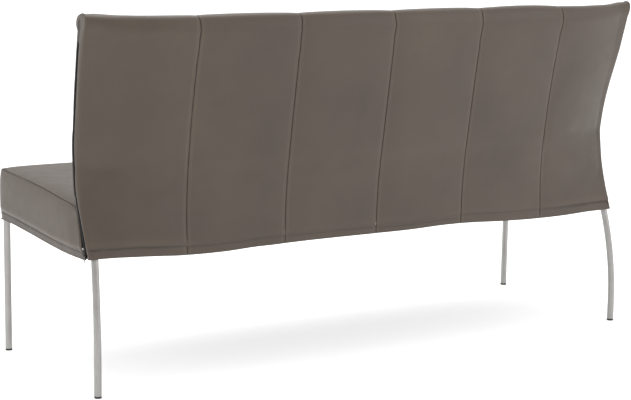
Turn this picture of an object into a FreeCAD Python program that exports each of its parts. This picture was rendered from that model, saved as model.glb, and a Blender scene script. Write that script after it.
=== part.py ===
"""Dining sofa with six leather channels, a steel frame and a zip up each end of the back.

Millimetres, +Z up. The floor is z = 0 and the origin is under the middle of the sofa.
The seat faces -Y, the rear of the back faces +Y, and the left end is at +X.
"""
import FreeCAD
import Part
import Sketcher
import math
import os

V = FreeCAD.Vector

# Heights on the back's profile, as shares of the rise from its hem to its top
LOW_SHARE = 0.185
WAIST_SHARE = 0.375
HIGH_SHARE = 0.652
CHEST_SHARE = 0.739
BELLY_SHARE = 0.531
LOIN_SHARE = 0.401

SIZES = [
    # Steel tube legs and their floor glides
    ("leg_diameter", 18.0),
    ("leg_wall", 1.5),
    ("front_leg_inset", 11.0),
    ("front_leg_setback", 12.5),
    ("rear_leg_inset", 28.0),
    ("rear_leg_kick", 38.5),
    ("rear_leg_straight", 52.0),
    ("rear_leg_bend", 950.0),
    ("rear_leg_turn_angle", 17.0),
    ("glide_height", 5.0),
    ("glide_plug", 14.0),
    ("plug_clearance", 0.1),
    # Seat frame of square tube, level, with its underside at this height
    ("frame_level", 350.0),
    ("rail_size", 30.0),
    ("rail_wall", 1.5),
    ("cross_rail_width", 20.0),
    ("frame_side_gap", 24.0),
    ("frame_front_gap", 15.0),
    ("side_rail_overhang", 12.0),
    ("rear_rail_back", 178.0),
    # Leg plates and their screws
    ("plate_thickness", 4.0),
    ("plate_width", 60.0),
    ("plate_depth", 50.0),
    ("front_plate_overhang", 7.0),
    ("front_plate_lip", 1.0),
    ("rear_plate_inset", 2.0),
    ("rear_plate_reach", 32.0),
    ("plate_screw_pitch", 34.0),
    ("plate_screw_edge", 8.0),
    ("screw_diameter", 5.0),
    ("screw_head_diameter", 9.0),
    ("screw_head_height", 3.0),
    ("screw_reach", 10.0),
    ("screw_clearance", 0.25),
    # Back frame: two bent uprights with round cross tubes
    ("upright_width", 25.0),
    ("upright_depth", 20.0),
    ("upright_wall", 1.5),
    ("upright_seam_gap", 90.0),
    ("upright_knee", 440.0),
    ("shoulder_foam", 38.6),
    ("upright_top_gap", 42.0),
    ("top_tube_drop", 11.0),
    ("cross_tube_diameter", 19.0),
    ("cross_tube_wall", 1.5),
    ("low_tube_height", 455.0),
    ("middle_tube_height", 600.0),
    # Bolts between the uprights and the rear rail
    ("bolt_diameter", 6.0),
    ("bolt_head_diameter", 10.0),
    ("bolt_head_height", 4.0),
    ("bolt_nut_height", 5.0),
    ("bolt_low", 9.0),
    ("bolt_pitch", 13.0),
    ("bolt_clearance", 0.3),
    # Elastic webbing and felt
    ("webbing_width", 60.0),
    ("webbing_thickness", 2.0),
    ("webbing_inset", 5.0),
    ("felt_thickness", 3.0),
    ("felt_side_gap", 6.0),
    ("felt_rear", 145.0),
    ("dust_cover_thickness", 1.0),
    ("dust_cover_rear_gap", 4.0),
    ("dust_cover_gap", 5.0),
    # Leather and how the soft parts fit in it
    ("leather", 1.4),
    ("foam_gap", 0.3),
    ("end_panel_extra", 5.0),
    ("seam_groove", 2.5),
    # Seat, described at its two ends and crowned between them
    ("seat_half_front", 830.0),
    ("seat_taper", 19.0),
    ("seat_front", 291.0),
    ("seat_hem_tuck", 10.0),
    ("seat_bulge_height", 415.0),
    ("seat_lip_setback", 3.0),
    ("seat_lip_height", 452.0),
    ("seat_nose_setback", 14.0),
    ("seat_nose_height", 474.0),
    ("seat_edge_setback", 41.0),
    ("seat_edge_height", 483.0),
    ("seat_middle_front", 60.0),
    ("seat_middle_height", 474.0),
    ("seat_rear_back", 130.0),
    ("seat_rear_height", 461.0),
    ("seat_foam_tuck", 16.0),
    ("seat_foam_inset", 3.0),
    ("seat_top_crown", 7.0),
    ("seat_front_crown", 7.3),
    ("seat_side_bulge", 4.0),
    # Back, described on the middle line of the sofa
    ("hem_drop", 27.0),
    ("hem_back", 228.5),
    ("low_back", 233.0),
    ("waist_back", 247.0),
    ("high_back", 272.5),
    ("shoulder_back", 298.5),
    ("shoulder_drop", 36.0),
    ("top_height", 901.0),
    ("top_back", 257.0),
    ("front_shoulder", 216.0),
    ("chest_back", 184.5),
    ("belly_back", 157.0),
    ("loin_back", 142.5),
    ("lap_rise", 9.0),
    ("lap_back", 132.0),
    # How far the back turns forward towards its ends
    ("back_bow", 19.0),
    ("back_wrap", 78.0),
    ("wrap_inset", 14.0),
    ("front_lip", 14.0),
    ("ear_rise", 5.0),
    ("corner_round", 14.0),
    ("corner_width", 12.0),
    ("end_foam_gap", 2.5),
    ("foam_floor_gap", 12.0),
    # Sloping side plane of the back, where the zip lies
    ("side_inset", 21.0),
    ("side_base", 330.0),
    ("side_rise", 570.0),
    ("side_flare", 17.0),
    # Zip: a straight foot, one bend and a straight head
    ("zip_foot_rise", 5.0),
    ("zip_head_drop", 13.0),
    ("zip_foot_back", 203.0),
    ("zip_knee_back", 122.0),
    ("zip_knee_height", 554.5),
    ("zip_knee_radius", 314.0),
    ("zip_head_back", 210.5),
    ("zip_width", 6.0),
    ("zip_thickness", 2.2),
    ("zip_proud", 0.7),
    ("zip_gap", 10.0),
    ("tape_width", 15.0),
    ("tape_thickness", 0.6),
    ("stop_length", 2.0),
    # Zip slider and its pull tab
    ("slider_length", 11.0),
    ("slider_wall", 1.0),
    ("slider_plate", 1.2),
    ("slider_skirt", 1.8),
    ("slider_clearance", 0.3),
    ("ear_reach", 2.6),
    ("ear_length", 3.2),
    ("ear_thickness", 1.0),
    ("ear_gap", 3.6),
    ("pin_diameter", 1.2),
    ("pin_clearance", 0.05),
    ("pull_width", 3.0),
    ("pull_thickness", 1.2),
    ("pull_length", 18.0),
]

# Sizes that follow from others
DERIVED = [
    # Half widths, all from the seat's
    ("seat_half_rear", "seat_half_front - seat_taper"),
    ("frame_half_width", "seat_half_front - frame_side_gap"),
    ("front_leg_out", "seat_half_front - front_leg_inset"),
    ("rear_leg_out", "seat_half_front - rear_leg_inset"),
    ("front_plate_out", "front_leg_out + front_plate_overhang"),
    ("rear_plate_out", "rear_leg_out - rear_plate_inset"),
    ("panel_pitch", "(seat_half_front - end_panel_extra) / 3"),
    ("upright_out", "2 * panel_pitch + upright_seam_gap"),
    ("felt_half_width", "frame_half_width - felt_side_gap"),
    ("side_out", "seat_half_front - side_inset"),
    ("wrap_end", "side_out - wrap_inset"),
    ("end_foam_start", "upright_out + upright_width / 2 + end_foam_gap"),
    # Depths of the seat's front, then of the frame and legs under it
    ("seat_hem_front", "seat_front - seat_hem_tuck"),
    ("seat_lip_front", "seat_front - seat_lip_setback"),
    ("seat_nose_front", "seat_front - seat_nose_setback"),
    ("seat_edge_front", "seat_front - seat_edge_setback"),
    ("seat_foam_back", "seat_rear_back + seat_foam_tuck"),
    ("frame_front", "seat_front - frame_front_gap"),
    ("front_leg_forward", "frame_front - front_leg_setback"),
    ("front_plate_forward", "frame_front + front_plate_lip"),
    ("frame_back", "rear_rail_back + side_rail_overhang"),
    ("rear_plate_back", "rear_rail_back + rear_plate_reach"),
    ("rear_leg_back", "rear_plate_back + rear_leg_kick"),
    ("upright_line", "rear_rail_back + upright_depth / 2"),
    ("dust_cover_back", "rear_plate_back - dust_cover_rear_gap"),
    ("upright_lean", "front_shoulder + shoulder_foam - upright_line"),
    # Heights, from the frame's level and from the top of the back
    ("seat_hem_height", "frame_level - plate_thickness"),
    ("hem_height", "frame_level - hem_drop"),
    ("zip_foot_height", "hem_height + zip_foot_rise"),
    ("back_foam_low", "frame_level + rail_size + foam_floor_gap"),
    ("lap_height", "seat_rear_height + lap_rise"),
    ("shoulder_height", "top_height - shoulder_drop"),
    ("zip_head_height", "top_height - zip_head_drop"),
    ("upright_top", "top_height - upright_top_gap"),
    ("top_tube_height", "upright_top - top_tube_drop"),
    ("upright_rise", "shoulder_height - upright_knee"),
    ("upright_bend", "(upright_rise ^ 2 + upright_lean ^ 2) / (2 * upright_lean)"),
    ("low_height", "hem_height + %r * (top_height - hem_height)" % LOW_SHARE),
    ("waist_height", "hem_height + %r * (top_height - hem_height)" % WAIST_SHARE),
    ("high_height", "hem_height + %r * (top_height - hem_height)" % HIGH_SHARE),
    ("chest_height", "hem_height + %r * (top_height - hem_height)" % CHEST_SHARE),
    ("belly_height", "hem_height + %r * (top_height - hem_height)" % BELLY_SHARE),
    ("loin_height", "hem_height + %r * (top_height - hem_height)" % LOIN_SHARE),
]

# Shares of back_bow at the outer seams and of back_wrap at the ends, from hem to shoulder
BOW_SHARES = (0.13, 0.63, 0.97, 1.0, 0.34)
WRAP_SHARES = (0.05, 0.57, 1.0, 0.98, 0.76)
# Shares of corner_round from hem to shoulder, then for the top
ROUND_SHARES = (0.4, 0.75, 1.0, 1.0, 1.0)
TOP_ROUND_SHARE = 0.7
# Across the rounded corner: how far in from the side plane, and how much of the rounding is done there
CORNER_SHARES = ((1.0, 0.0), (0.3, 0.286), (0.0, 1.0))
# The end foam's nose, by the same two shares
NOSE_SHARES = ((1.0, 0.0), (0.4, 0.5))
# Shares of the seat's crown at the nose, the front edge, the middle and the rear
CROWN_SHARES = (0.3, 0.45, 1.0, 0.7)

doc = FreeCAD.newDocument("dining_sofa")
sheet = doc.addObject("Spreadsheet::Sheet", "sizes")
for row, (alias, value) in enumerate(SIZES + DERIVED, start=1):
    sheet.set("A%d" % row, alias)
    sheet.setAlias("B%d" % row, alias)
    sheet.set("B%d" % row, "=%s" % value)
doc.recompute()

NODES = []


def size(alias):
    """Read one driving size from the sheet."""
    return float(sheet.get(alias))


def add_node(thing, label):
    """Give a finished sub-part its name and keep it for the export."""
    thing.Label = label
    NODES.append(thing)
    return thing


def bind(thing, **expressions):
    """Tie properties of an object to expressions of the sheet's sizes."""
    for path, expression in expressions.items():
        thing.setExpression(path.replace("__", "."), expression)


def place(thing, x="0", y="0", z="0"):
    """Tie where a sub-part stands to the sheet."""
    bind(thing, Placement__Base__x=x, Placement__Base__y=y, Placement__Base__z=z)


def named(text):
    """Write the sheet's name in front of each size that an expression uses."""
    for alias in sorted((entry[0] for entry in SIZES + DERIVED), key=len, reverse=True):
        text = text.replace("<%s>" % alias, "sizes.%s" % alias)
    return text


def origin_plane(body, role):
    """Find one of the body's own origin planes."""
    return next(plane for plane in body.Origin.OriginFeatures if plane.Role == role)


def new_sketch(body, role, name, offset=None):
    """Make a sketch on an origin plane, moved along its normal by a sheet expression."""
    sketch = body.newObject("Sketcher::SketchObject", name)
    sketch.AttachmentSupport = [(origin_plane(body, role), "")]
    sketch.MapMode = "FlatFace"
    if offset:
        sketch.setExpression("AttachmentOffset.Base.z", named(offset))
    return sketch


def limit(sketch, expression, *constraint):
    """Add a sized constraint and tie it to the sheet."""
    index = sketch.addConstraint(Sketcher.Constraint(*constraint))
    sketch.setExpression("Constraints[%d]" % index, named(expression))


def rectangle(sketch, width, height, unit=None):
    """Draw a rectangle centred on the sketch's origin."""
    first = sketch.GeometryCount
    unit = unit or size("rail_size")
    half = unit / 2
    corners = [V(-half, -half, 0), V(half, -half, 0), V(half, half, 0), V(-half, half, 0)]
    for side in range(4):
        sketch.addGeometry(Part.LineSegment(corners[side], corners[(side + 1) % 4]), False)
    for side in range(4):
        sketch.addConstraint(Sketcher.Constraint("Coincident", first + side, 2, first + (side + 1) % 4, 1))
    for side in (0, 2):
        sketch.addConstraint(Sketcher.Constraint("Horizontal", first + side))
        sketch.addConstraint(Sketcher.Constraint("Vertical", first + side + 1))
    sketch.addConstraint(Sketcher.Constraint("Symmetric", first, 1, first + 1, 2, -1, 1))
    limit(sketch, width, "DistanceX", first, 1, first, 2, unit)
    limit(sketch, height, "DistanceY", first + 1, 1, first + 1, 2, unit)


def circle(sketch, diameter):
    """Draw a circle on the sketch's origin."""
    unit = size("leg_diameter")
    ring = sketch.addGeometry(Part.Circle(V(0, 0, 0), V(0, 0, 1), unit), False)
    sketch.addConstraint(Sketcher.Constraint("Coincident", ring, 3, -1, 1))
    limit(sketch, diameter, "Diameter", ring, 2 * unit)


def hole_circle(sketch, across, up, diameter):
    """Draw a circle whose centre lies at two sheet expressions."""
    unit = size("bolt_diameter")
    ring = sketch.addGeometry(Part.Circle(V(unit, unit, 0), V(0, 0, 1), unit), False)
    limit(sketch, diameter, "Diameter", ring, 2 * unit)
    limit(sketch, across, "DistanceX", -1, 1, ring, 3, unit)
    limit(sketch, up, "DistanceY", -1, 1, ring, 3, unit)


def pad(body, sketch, length, name="pad", both_ways=False):
    """Pad a sketch by a sheet expression."""
    feature = body.newObject("PartDesign::Pad", name)
    feature.Profile = sketch
    if both_ways:
        feature.SideType = "Symmetric"
    bind(feature, Length=named(length))
    return feature


def drill(body, role, name, holes):
    """Cut round holes right through a body, each given as across, up and diameter."""
    sketch = new_sketch(body, role, name + "_sketch")
    for across, up, diameter in holes:
        hole_circle(sketch, across, up, diameter)
    doc.recompute()
    before = body.Shape.Volume
    cut = body.newObject("PartDesign::Pocket", name)
    cut.Profile = sketch
    cut.SideType = "Symmetric"
    cut.Type = "ThroughAll"
    doc.recompute()
    if body.Shape.Volume >= before:
        raise RuntimeError(name + " cuts nothing")
    return cut


def square_tube(label, role, width, height, length):
    """Make a straight square tube whose middle is the body's origin."""
    body = doc.addObject("PartDesign::Body", label)
    sketch = new_sketch(body, role, "section")
    rectangle(sketch, width, height)
    rectangle(sketch, "(%s) - 2 * <rail_wall>" % width, "(%s) - 2 * <rail_wall>" % height)
    pad(body, sketch, length, both_ways=True)
    return add_node(body, label)


# Legs and glides

LEG_TOP = "<frame_level> - <plate_thickness>"
ENDS = (("left", 1), ("right", -1))


def make_front_leg(end, side):
    """Straight upright tube from the glide to the leg plate."""
    body = doc.addObject("PartDesign::Body", "front_leg_" + end)
    section = new_sketch(body, "XY_Plane", "section", "<glide_height>")
    circle(section, "<leg_diameter>")
    circle(section, "<leg_diameter> - 2 * <leg_wall>")
    pad(body, section, LEG_TOP + " - <glide_height>")
    place(body, named("%d * <front_leg_out>" % side), named("-<front_leg_forward>"))
    return add_node(body, "front_leg_" + end)


def make_rear_leg(end, side):
    """Tube that rises straight and then bends forward in one large arc."""
    body = doc.addObject("PartDesign::Body", "rear_leg_" + end)
    path = new_sketch(body, "YZ_Plane", "path")
    bend = size("rear_leg_bend")
    straight = size("rear_leg_straight")
    end_angle = math.asin((size("frame_level") - straight) / bend)
    path.addGeometry(Part.LineSegment(V(0, size("glide_height"), 0), V(0, straight, 0)), False)
    round_part = Part.Circle(V(-bend, straight, 0), V(0, 0, 1), bend)
    path.addGeometry(Part.ArcOfCircle(round_part, 0, end_angle), False)
    path.addConstraint(Sketcher.Constraint("PointOnObject", 0, 1, -2))
    path.addConstraint(Sketcher.Constraint("PointOnObject", 0, 2, -2))
    path.addConstraint(Sketcher.Constraint("Tangent", 0, 2, 1, 1))
    limit(path, "<glide_height>", "DistanceY", -1, 1, 0, 1, size("glide_height"))
    limit(path, "<rear_leg_straight>", "DistanceY", -1, 1, 0, 2, straight)
    limit(path, "<rear_leg_bend>", "Radius", 1, bend)
    limit(path, LEG_TOP + " + <leg_diameter> / 2", "DistanceY", -1, 1, 1, 2, size("frame_level"))
    section = new_sketch(body, "XY_Plane", "section", "<glide_height>")
    circle(section, "<leg_diameter>")
    circle(section, "<leg_diameter> - 2 * <leg_wall>")
    doc.recompute()
    pipe = body.newObject("PartDesign::AdditivePipe", "bent_tube")
    pipe.Profile = section
    pipe.Spine = (path, ["Edge1", "Edge2"])
    doc.recompute()
    before = body.Shape.Volume
    above = new_sketch(body, "XY_Plane", "above", LEG_TOP)
    rectangle(above, "<rear_leg_bend>", "<rear_leg_bend>", size("rear_leg_bend"))
    level = body.newObject("PartDesign::Pocket", "level_top")
    level.Profile = above
    level.Reversed = True
    bind(level, Length=named("<leg_diameter>"))
    doc.recompute()
    if body.Shape.Volume >= before:
        raise RuntimeError("the leg's top isn't cut level")
    place(body, named("%d * <rear_leg_out>" % side), named("<rear_leg_back>"))
    body.setExpression("Placement.Rotation.Angle", named("%d * <rear_leg_turn_angle>" % -side))
    return add_node(body, "rear_leg_" + end)


def make_glide(label, x, y):
    """Round floor glide with a plug that fits inside the leg."""
    body = doc.addObject("PartDesign::Body", label)
    foot = new_sketch(body, "XY_Plane", "foot")
    circle(foot, "<leg_diameter>")
    pad(body, foot, "<glide_height>", "disc")
    neck = new_sketch(body, "XY_Plane", "neck", "<glide_height>")
    circle(neck, "<leg_diameter> - 2 * <leg_wall> - 2 * <plug_clearance>")
    pad(body, neck, "<glide_plug>", "plug")
    place(body, named(x), named(y))
    return add_node(body, label)


for end, side in ENDS:
    make_front_leg(end, side)
    make_rear_leg(end, side)
    make_glide("front_glide_" + end, "%d * <front_leg_out>" % side, "-<front_leg_forward>")
    make_glide("rear_glide_" + end, "%d * <rear_leg_out>" % side, "<rear_leg_back>")


# Leg plates: where each one stands, and the two screws that hold it

RAIL_MIDDLE = "<frame_half_width> - <rail_size> / 2"
SCREW_HOLE = "<screw_diameter> + 2 * <screw_clearance>"
FRONT_PLATE_X = "<front_plate_out> - <plate_width> / 2"
FRONT_PLATE_Y = "-<front_plate_forward> + <plate_depth> / 2"
REAR_PLATE_X = "<rear_plate_out> - <plate_width> / 2"
REAR_PLATE_Y = "<rear_plate_back> - <plate_depth> / 2"
FRONT_SCREW_X = RAIL_MIDDLE
FRONT_SCREW_YS = ("-<front_plate_forward> + <plate_screw_edge>",
                  "-<front_plate_forward> + <plate_screw_edge> + <plate_screw_pitch>")
REAR_SCREW_Y = "<rear_rail_back> - <plate_screw_edge>"
REAR_SCREW_XS = (RAIL_MIDDLE, RAIL_MIDDLE + " - <plate_screw_pitch>")


def make_leg_plate(label, side, x, y, screws):
    """Steel plate that is welded on a leg and screwed under the frame."""
    body = doc.addObject("PartDesign::Body", label)
    outline = new_sketch(body, "XY_Plane", "outline")
    rectangle(outline, "<plate_width>", "<plate_depth>")
    pad(body, outline, "<plate_thickness>")
    holes = [("%d * ((%s) - (%s))" % (side, sx, x), "(%s) - (%s)" % (sy, y), SCREW_HOLE)
             for sx, sy in screws]
    drill(body, "XY_Plane", "screw_holes", holes)
    place(body, named("%d * (%s)" % (side, x)), named(y), named(LEG_TOP))
    return add_node(body, label)


FRONT_SCREWS = [(FRONT_SCREW_X, y) for y in FRONT_SCREW_YS]
REAR_SCREWS = [(x, REAR_SCREW_Y) for x in REAR_SCREW_XS]
for end, side in ENDS:
    make_leg_plate("front_leg_plate_" + end, side, FRONT_PLATE_X, FRONT_PLATE_Y, FRONT_SCREWS)
    make_leg_plate("rear_leg_plate_" + end, side, REAR_PLATE_X, REAR_PLATE_Y, REAR_SCREWS)


# Seat frame

RAIL_Z = "<frame_level> + <rail_size> / 2"
SIDE_LENGTH = "<frame_front> + <frame_back>"
SIDE_Y = "(<frame_back> - <frame_front>) / 2"
BETWEEN_SIDES = "2 * (<frame_half_width> - <rail_size>)"
BOLT_HOLE = "<bolt_diameter> + 2 * <bolt_clearance>"
BOLT_ZS = ("<frame_level> + <bolt_low>", "<frame_level> + <bolt_low> + <bolt_pitch>")

front_rail = square_tube("seat_rail_front", "YZ_Plane", "<rail_size>", "<rail_size>", BETWEEN_SIDES)
place(front_rail, "0", named("-<frame_front> + <rail_size> / 2"), named(RAIL_Z))

rear_rail = square_tube("seat_rail_rear", "YZ_Plane", "<rail_size>", "<rail_size>", BETWEEN_SIDES)
REAR_RAIL_Y = "<rear_rail_back> - <rail_size> / 2"
place(rear_rail, "0", named(REAR_RAIL_Y), named(RAIL_Z))
drill(rear_rail, "XZ_Plane", "bolt_holes",
      [("%d * <upright_out>" % side, "(%s) - (%s)" % (z, RAIL_Z), BOLT_HOLE)
       for _, side in ENDS for z in BOLT_ZS])
drill(rear_rail, "XY_Plane", "screw_holes",
      [("%d * (%s)" % (side, REAR_SCREW_XS[1]), "(%s) - (%s)" % (REAR_SCREW_Y, REAR_RAIL_Y), SCREW_HOLE)
       for _, side in ENDS])

for end, side in ENDS:
    rail = square_tube("seat_rail_" + end, "XZ_Plane", "<rail_size>", "<rail_size>", SIDE_LENGTH)
    place(rail, named("%d * (%s)" % (side, RAIL_MIDDLE)), named(SIDE_Y), named(RAIL_Z))
    side_holes = [("0", "(%s) - (%s)" % (y, SIDE_Y), SCREW_HOLE) for y in FRONT_SCREW_YS + (REAR_SCREW_Y,)]
    drill(rail, "XY_Plane", "screw_holes", side_holes)
    cross = square_tube("seat_cross_rail_" + end, "XZ_Plane", "<cross_rail_width>", "<rail_size>",
                        "<rear_rail_back> + <frame_front> - 2 * <rail_size>")
    cross_y = "(<rear_rail_back> - <frame_front>) / 2"
    place(cross, named("%d * <panel_pitch>" % side), named(cross_y), named(RAIL_Z))


# Back frame

UPRIGHT_BACK = "<upright_line> + <upright_bend> - sqrt(<upright_bend>^2 - ((%s) - <upright_knee>)^2)"


def upright_y(z):
    """Middle line of an upright, at a height."""
    rise = max(0.0, z - size("upright_knee"))
    bend = size("upright_bend")
    return size("upright_line") + bend - math.sqrt(bend ** 2 - rise ** 2)


def upright_lean(z):
    """Lean of the uprights at a height, in radians."""
    return math.asin(max(0.0, z - size("upright_knee")) / size("upright_bend"))


def make_upright(end, side):
    """Rectangular tube, straight behind the seat frame and bent back above it."""
    body = doc.addObject("PartDesign::Body", "back_upright_" + end)
    path = new_sketch(body, "YZ_Plane", "path")
    bend = size("upright_bend")
    knee = size("upright_knee")
    top = size("upright_top")
    top_angle = math.asin((top - knee) / bend)
    path.addGeometry(Part.LineSegment(V(0, size("frame_level"), 0), V(0, knee, 0)), False)
    round_part = Part.Circle(V(bend, knee, 0), V(0, 0, 1), bend)
    path.addGeometry(Part.ArcOfCircle(round_part, math.pi - top_angle, math.pi), False)
    path.addConstraint(Sketcher.Constraint("PointOnObject", 0, 1, -2))
    path.addConstraint(Sketcher.Constraint("PointOnObject", 0, 2, -2))
    path.addConstraint(Sketcher.Constraint("Tangent", 0, 2, 1, 2))
    limit(path, "<frame_level>", "DistanceY", -1, 1, 0, 1, size("frame_level"))
    limit(path, "<upright_knee>", "DistanceY", -1, 1, 0, 2, knee)
    limit(path, "<upright_bend>", "Radius", 1, bend)
    limit(path, "<upright_top>", "DistanceY", -1, 1, 1, 1, top)
    section = new_sketch(body, "XY_Plane", "section", "<frame_level>")
    rectangle(section, "<upright_width>", "<upright_depth>")
    rectangle(section, "<upright_width> - 2 * <upright_wall>", "<upright_depth> - 2 * <upright_wall>")
    doc.recompute()
    pipe = body.newObject("PartDesign::AdditivePipe", "bent_tube")
    pipe.Profile = section
    pipe.Spine = (path, ["Edge1", "Edge2"])
    doc.recompute()
    drill(body, "XZ_Plane", "bolt_holes", [("0", z, BOLT_HOLE) for z in BOLT_ZS])
    place(body, named("%d * <upright_out>" % side), named("<upright_line>"))
    return add_node(body, "back_upright_" + end)


def make_cross_tube(label, height):
    """Round tube between the uprights."""
    body = doc.addObject("PartDesign::Body", label)
    section = new_sketch(body, "YZ_Plane", "section")
    circle(section, "<cross_tube_diameter>")
    circle(section, "<cross_tube_diameter> - 2 * <cross_tube_wall>")
    pad(body, section, "2 * <upright_out> - <upright_width>", both_ways=True)
    place(body, "0", named(UPRIGHT_BACK % height), named(height))
    return add_node(body, label)


for end, side in ENDS:
    make_upright(end, side)
make_cross_tube("back_tube_low", "<low_tube_height>")
make_cross_tube("back_tube_middle", "<middle_tube_height>")
make_cross_tube("back_tube_top", "<top_tube_height>")


# Screws, bolts and nuts, each kind as one group of separate solids

def add_shape(label, shape):
    """Keep a shape that is worked out here from the sheet's sizes."""
    place_of_shape = shape.Placement
    thing = doc.addObject("Part::Feature", label)
    thing.Shape = shape
    thing.Placement = place_of_shape
    return add_node(thing, label)


def hexagon_prism(across, height, base, direction):
    """Hexagonal head or nut, from its base along a direction."""
    turn = FreeCAD.Rotation(V(0, 0, 1), direction)
    corners = []
    for step in range(7):
        angle = math.radians(60 * step)
        corners.append(base + turn.multVec(V(across / 2 * math.cos(angle), across / 2 * math.sin(angle), 0)))
    return Part.Face(Part.makePolygon(corners)).extrude(direction * height)


def make_leg_screws():
    """Pan-head screws up through the leg plates into the rails."""
    level = size("frame_level")
    plate = size("plate_thickness")
    radius = size("screw_diameter") / 2
    rail_middle = size("frame_half_width") - size("rail_size") / 2
    front = -size("front_plate_forward") + size("plate_screw_edge")
    rear = size("rear_rail_back") - size("plate_screw_edge")
    pitch = size("plate_screw_pitch")
    spots = [(rail_middle, front), (rail_middle, front + pitch)]
    spots += [(rail_middle, rear), (rail_middle - pitch, rear)]
    screws = []
    for x, y in spots:
        for _, side in ENDS:
            seat = V(side * x, y, level - plate)
            head_height = size("screw_head_height")
            head = Part.makeCone(radius, size("screw_head_diameter") / 2, head_height,
                                 seat - V(0, 0, head_height), V(0, 0, 1))
            shank = Part.makeCylinder(radius, plate + size("screw_reach"), seat, V(0, 0, 1))
            screws.append(head.fuse(shank).removeSplitter())
    return add_shape("leg_screws", Part.makeCompound(screws))


def make_back_bolts():
    """Hexagon bolts through the uprights and the rear rail, with their nuts in front."""
    face = size("upright_line") + size("upright_depth") / 2
    rail_front = size("rear_rail_back") - size("rail_size")
    nut_height = size("bolt_nut_height")
    across = size("bolt_head_diameter")
    radius = size("bolt_diameter") / 2
    bolts = []
    nuts = []
    for _, side in ENDS:
        for step in range(2):
            z = size("frame_level") + size("bolt_low") + step * size("bolt_pitch")
            seat = V(side * size("upright_out"), face, z)
            head = hexagon_prism(across, size("bolt_head_height"), seat, V(0, 1, 0))
            shank_length = face - rail_front + nut_height
            shank = Part.makeCylinder(radius, shank_length, seat, V(0, -1, 0))
            bolts.append(head.fuse(shank).removeSplitter())
            nut_base = V(seat.x, rail_front, z)
            nut = hexagon_prism(across, nut_height, nut_base, V(0, -1, 0))
            bore = Part.makeCylinder(radius, nut_height, nut_base, V(0, -1, 0))
            nuts.append(nut.cut(bore))
    add_shape("back_bolts", Part.makeCompound(bolts))
    add_shape("back_nuts", Part.makeCompound(nuts))


make_leg_screws()
make_back_bolts()


# Webbing, felt and dust cover

SEAT_STRAPS = 9
BACK_STRAPS = 4


def make_seat_webbing():
    """Elastic straps from the front rail to the rear rail."""
    body = doc.addObject("PartDesign::Body", "seat_webbing")
    body.AllowCompound = True
    outline = new_sketch(body, "XY_Plane", "outline")
    rectangle(outline, "<webbing_width>", "<frame_front> + <rear_rail_back> - 2 * <webbing_inset>")
    strap = pad(body, outline, "<webbing_thickness>", "strap")
    doc.recompute()
    row_of_straps = body.newObject("PartDesign::LinearPattern", "row_of_straps")
    row_of_straps.Originals = [strap]
    row_of_straps.Direction = (outline, ["H_Axis"])
    span = "2 * (<frame_half_width> - <rail_size>) - <webbing_width> - 2 * <webbing_inset>"
    bind(row_of_straps, Length=named(span))
    row_of_straps.Occurrences = SEAT_STRAPS
    body.Tip = row_of_straps
    place(body, named("-(%s) / 2" % span), named("(<rear_rail_back> - <frame_front>) / 2"),
          named("<frame_level> + <rail_size>"))
    return add_node(body, "seat_webbing")


def make_back_webbing():
    """Elastic straps across the fronts of the uprights."""
    straps = []
    length = 2 * size("upright_out") + size("upright_width")
    width = size("webbing_width")
    thickness = size("webbing_thickness")
    low = size("low_tube_height") + width
    high = size("top_tube_height") - width
    for step in range(BACK_STRAPS):
        z = low + (high - low) * step / (BACK_STRAPS - 1)
        lean = math.degrees(upright_lean(z))
        corner = V(-length / 2, -size("upright_depth") / 2 - thickness, -width / 2)
        strap = Part.makeBox(length, thickness, width, corner)
        strap.Placement = FreeCAD.Placement(V(0, upright_y(z), z), FreeCAD.Rotation(V(1, 0, 0), -lean))
        straps.append(strap)
    return add_shape("back_webbing", Part.makeCompound(straps))


make_seat_webbing()
make_back_webbing()

felt = doc.addObject("Part::Box", "seat_felt")
bind(felt, Length=named("2 * <felt_half_width>"),
     Width=named("<frame_front> - <webbing_inset> + <felt_rear>"), Height=named("<felt_thickness>"))
place(felt, named("-<felt_half_width>"), named("-<frame_front> + <webbing_inset>"),
      named("<frame_level> + <rail_size> + <webbing_thickness>"))
add_node(felt, "seat_felt")


def make_dust_cover():
    """Thin cloth under the frame, cut away round the leg plates."""
    gap = size("dust_cover_gap")
    thickness = size("dust_cover_thickness")
    half_width = size("frame_half_width")
    level = size("frame_level") - thickness
    depth = size("frame_front") + size("dust_cover_back")
    cover = Part.makeBox(2 * half_width, depth, thickness, V(-half_width, -size("frame_front"), level))
    for _, side in ENDS:
        front_x = size("front_plate_out") - size("plate_width") - gap
        rear_x = size("rear_plate_out") - size("plate_width") - gap
        front_y = -size("front_plate_forward")
        rear_y = size("rear_plate_back") - size("plate_depth") - gap
        for near_x, low_y in ((front_x, front_y - gap), (rear_x, rear_y)):
            width = half_width - near_x + gap
            corner_x = near_x if side > 0 else -near_x - width
            notch = Part.makeBox(width, size("plate_depth") + 2 * gap, thickness, V(corner_x, low_y, level))
            cover = cover.cut(notch)
    return add_shape("dust_cover", cover)


make_dust_cover()


# Shape of the soft parts: each one is lofted through outlines that stand across the sofa

STRAIGHT_SHARE = 0.00001


def arc(first, middle, last):
    """Arc of less than a half circle through three points, or a straight edge if they lie in line."""
    chord = last - first
    if chord.cross(middle - first).Length < STRAIGHT_SHARE * chord.Length ** 2:
        return line(first, last)
    return Part.Arc(first, middle, last).toShape()


def arcs(points):
    """Arcs through points, two arcs sharing every second point."""
    return [arc(points[k], points[k + 1], points[k + 2]) for k in range(0, len(points) - 2, 2)]


def line(first, last):
    """Straight edge between two points."""
    return Part.LineSegment(first, last).toShape()


def closed(points, *corners):
    """Closed wire of arcs through the points, then straight edges round the corners."""
    edges = arcs(points)
    ring = [points[-1]] + list(corners) + [points[0]]
    for first, last in zip(ring, ring[1:]):
        edges.append(line(first, last))
    return Part.Wire(edges)


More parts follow.
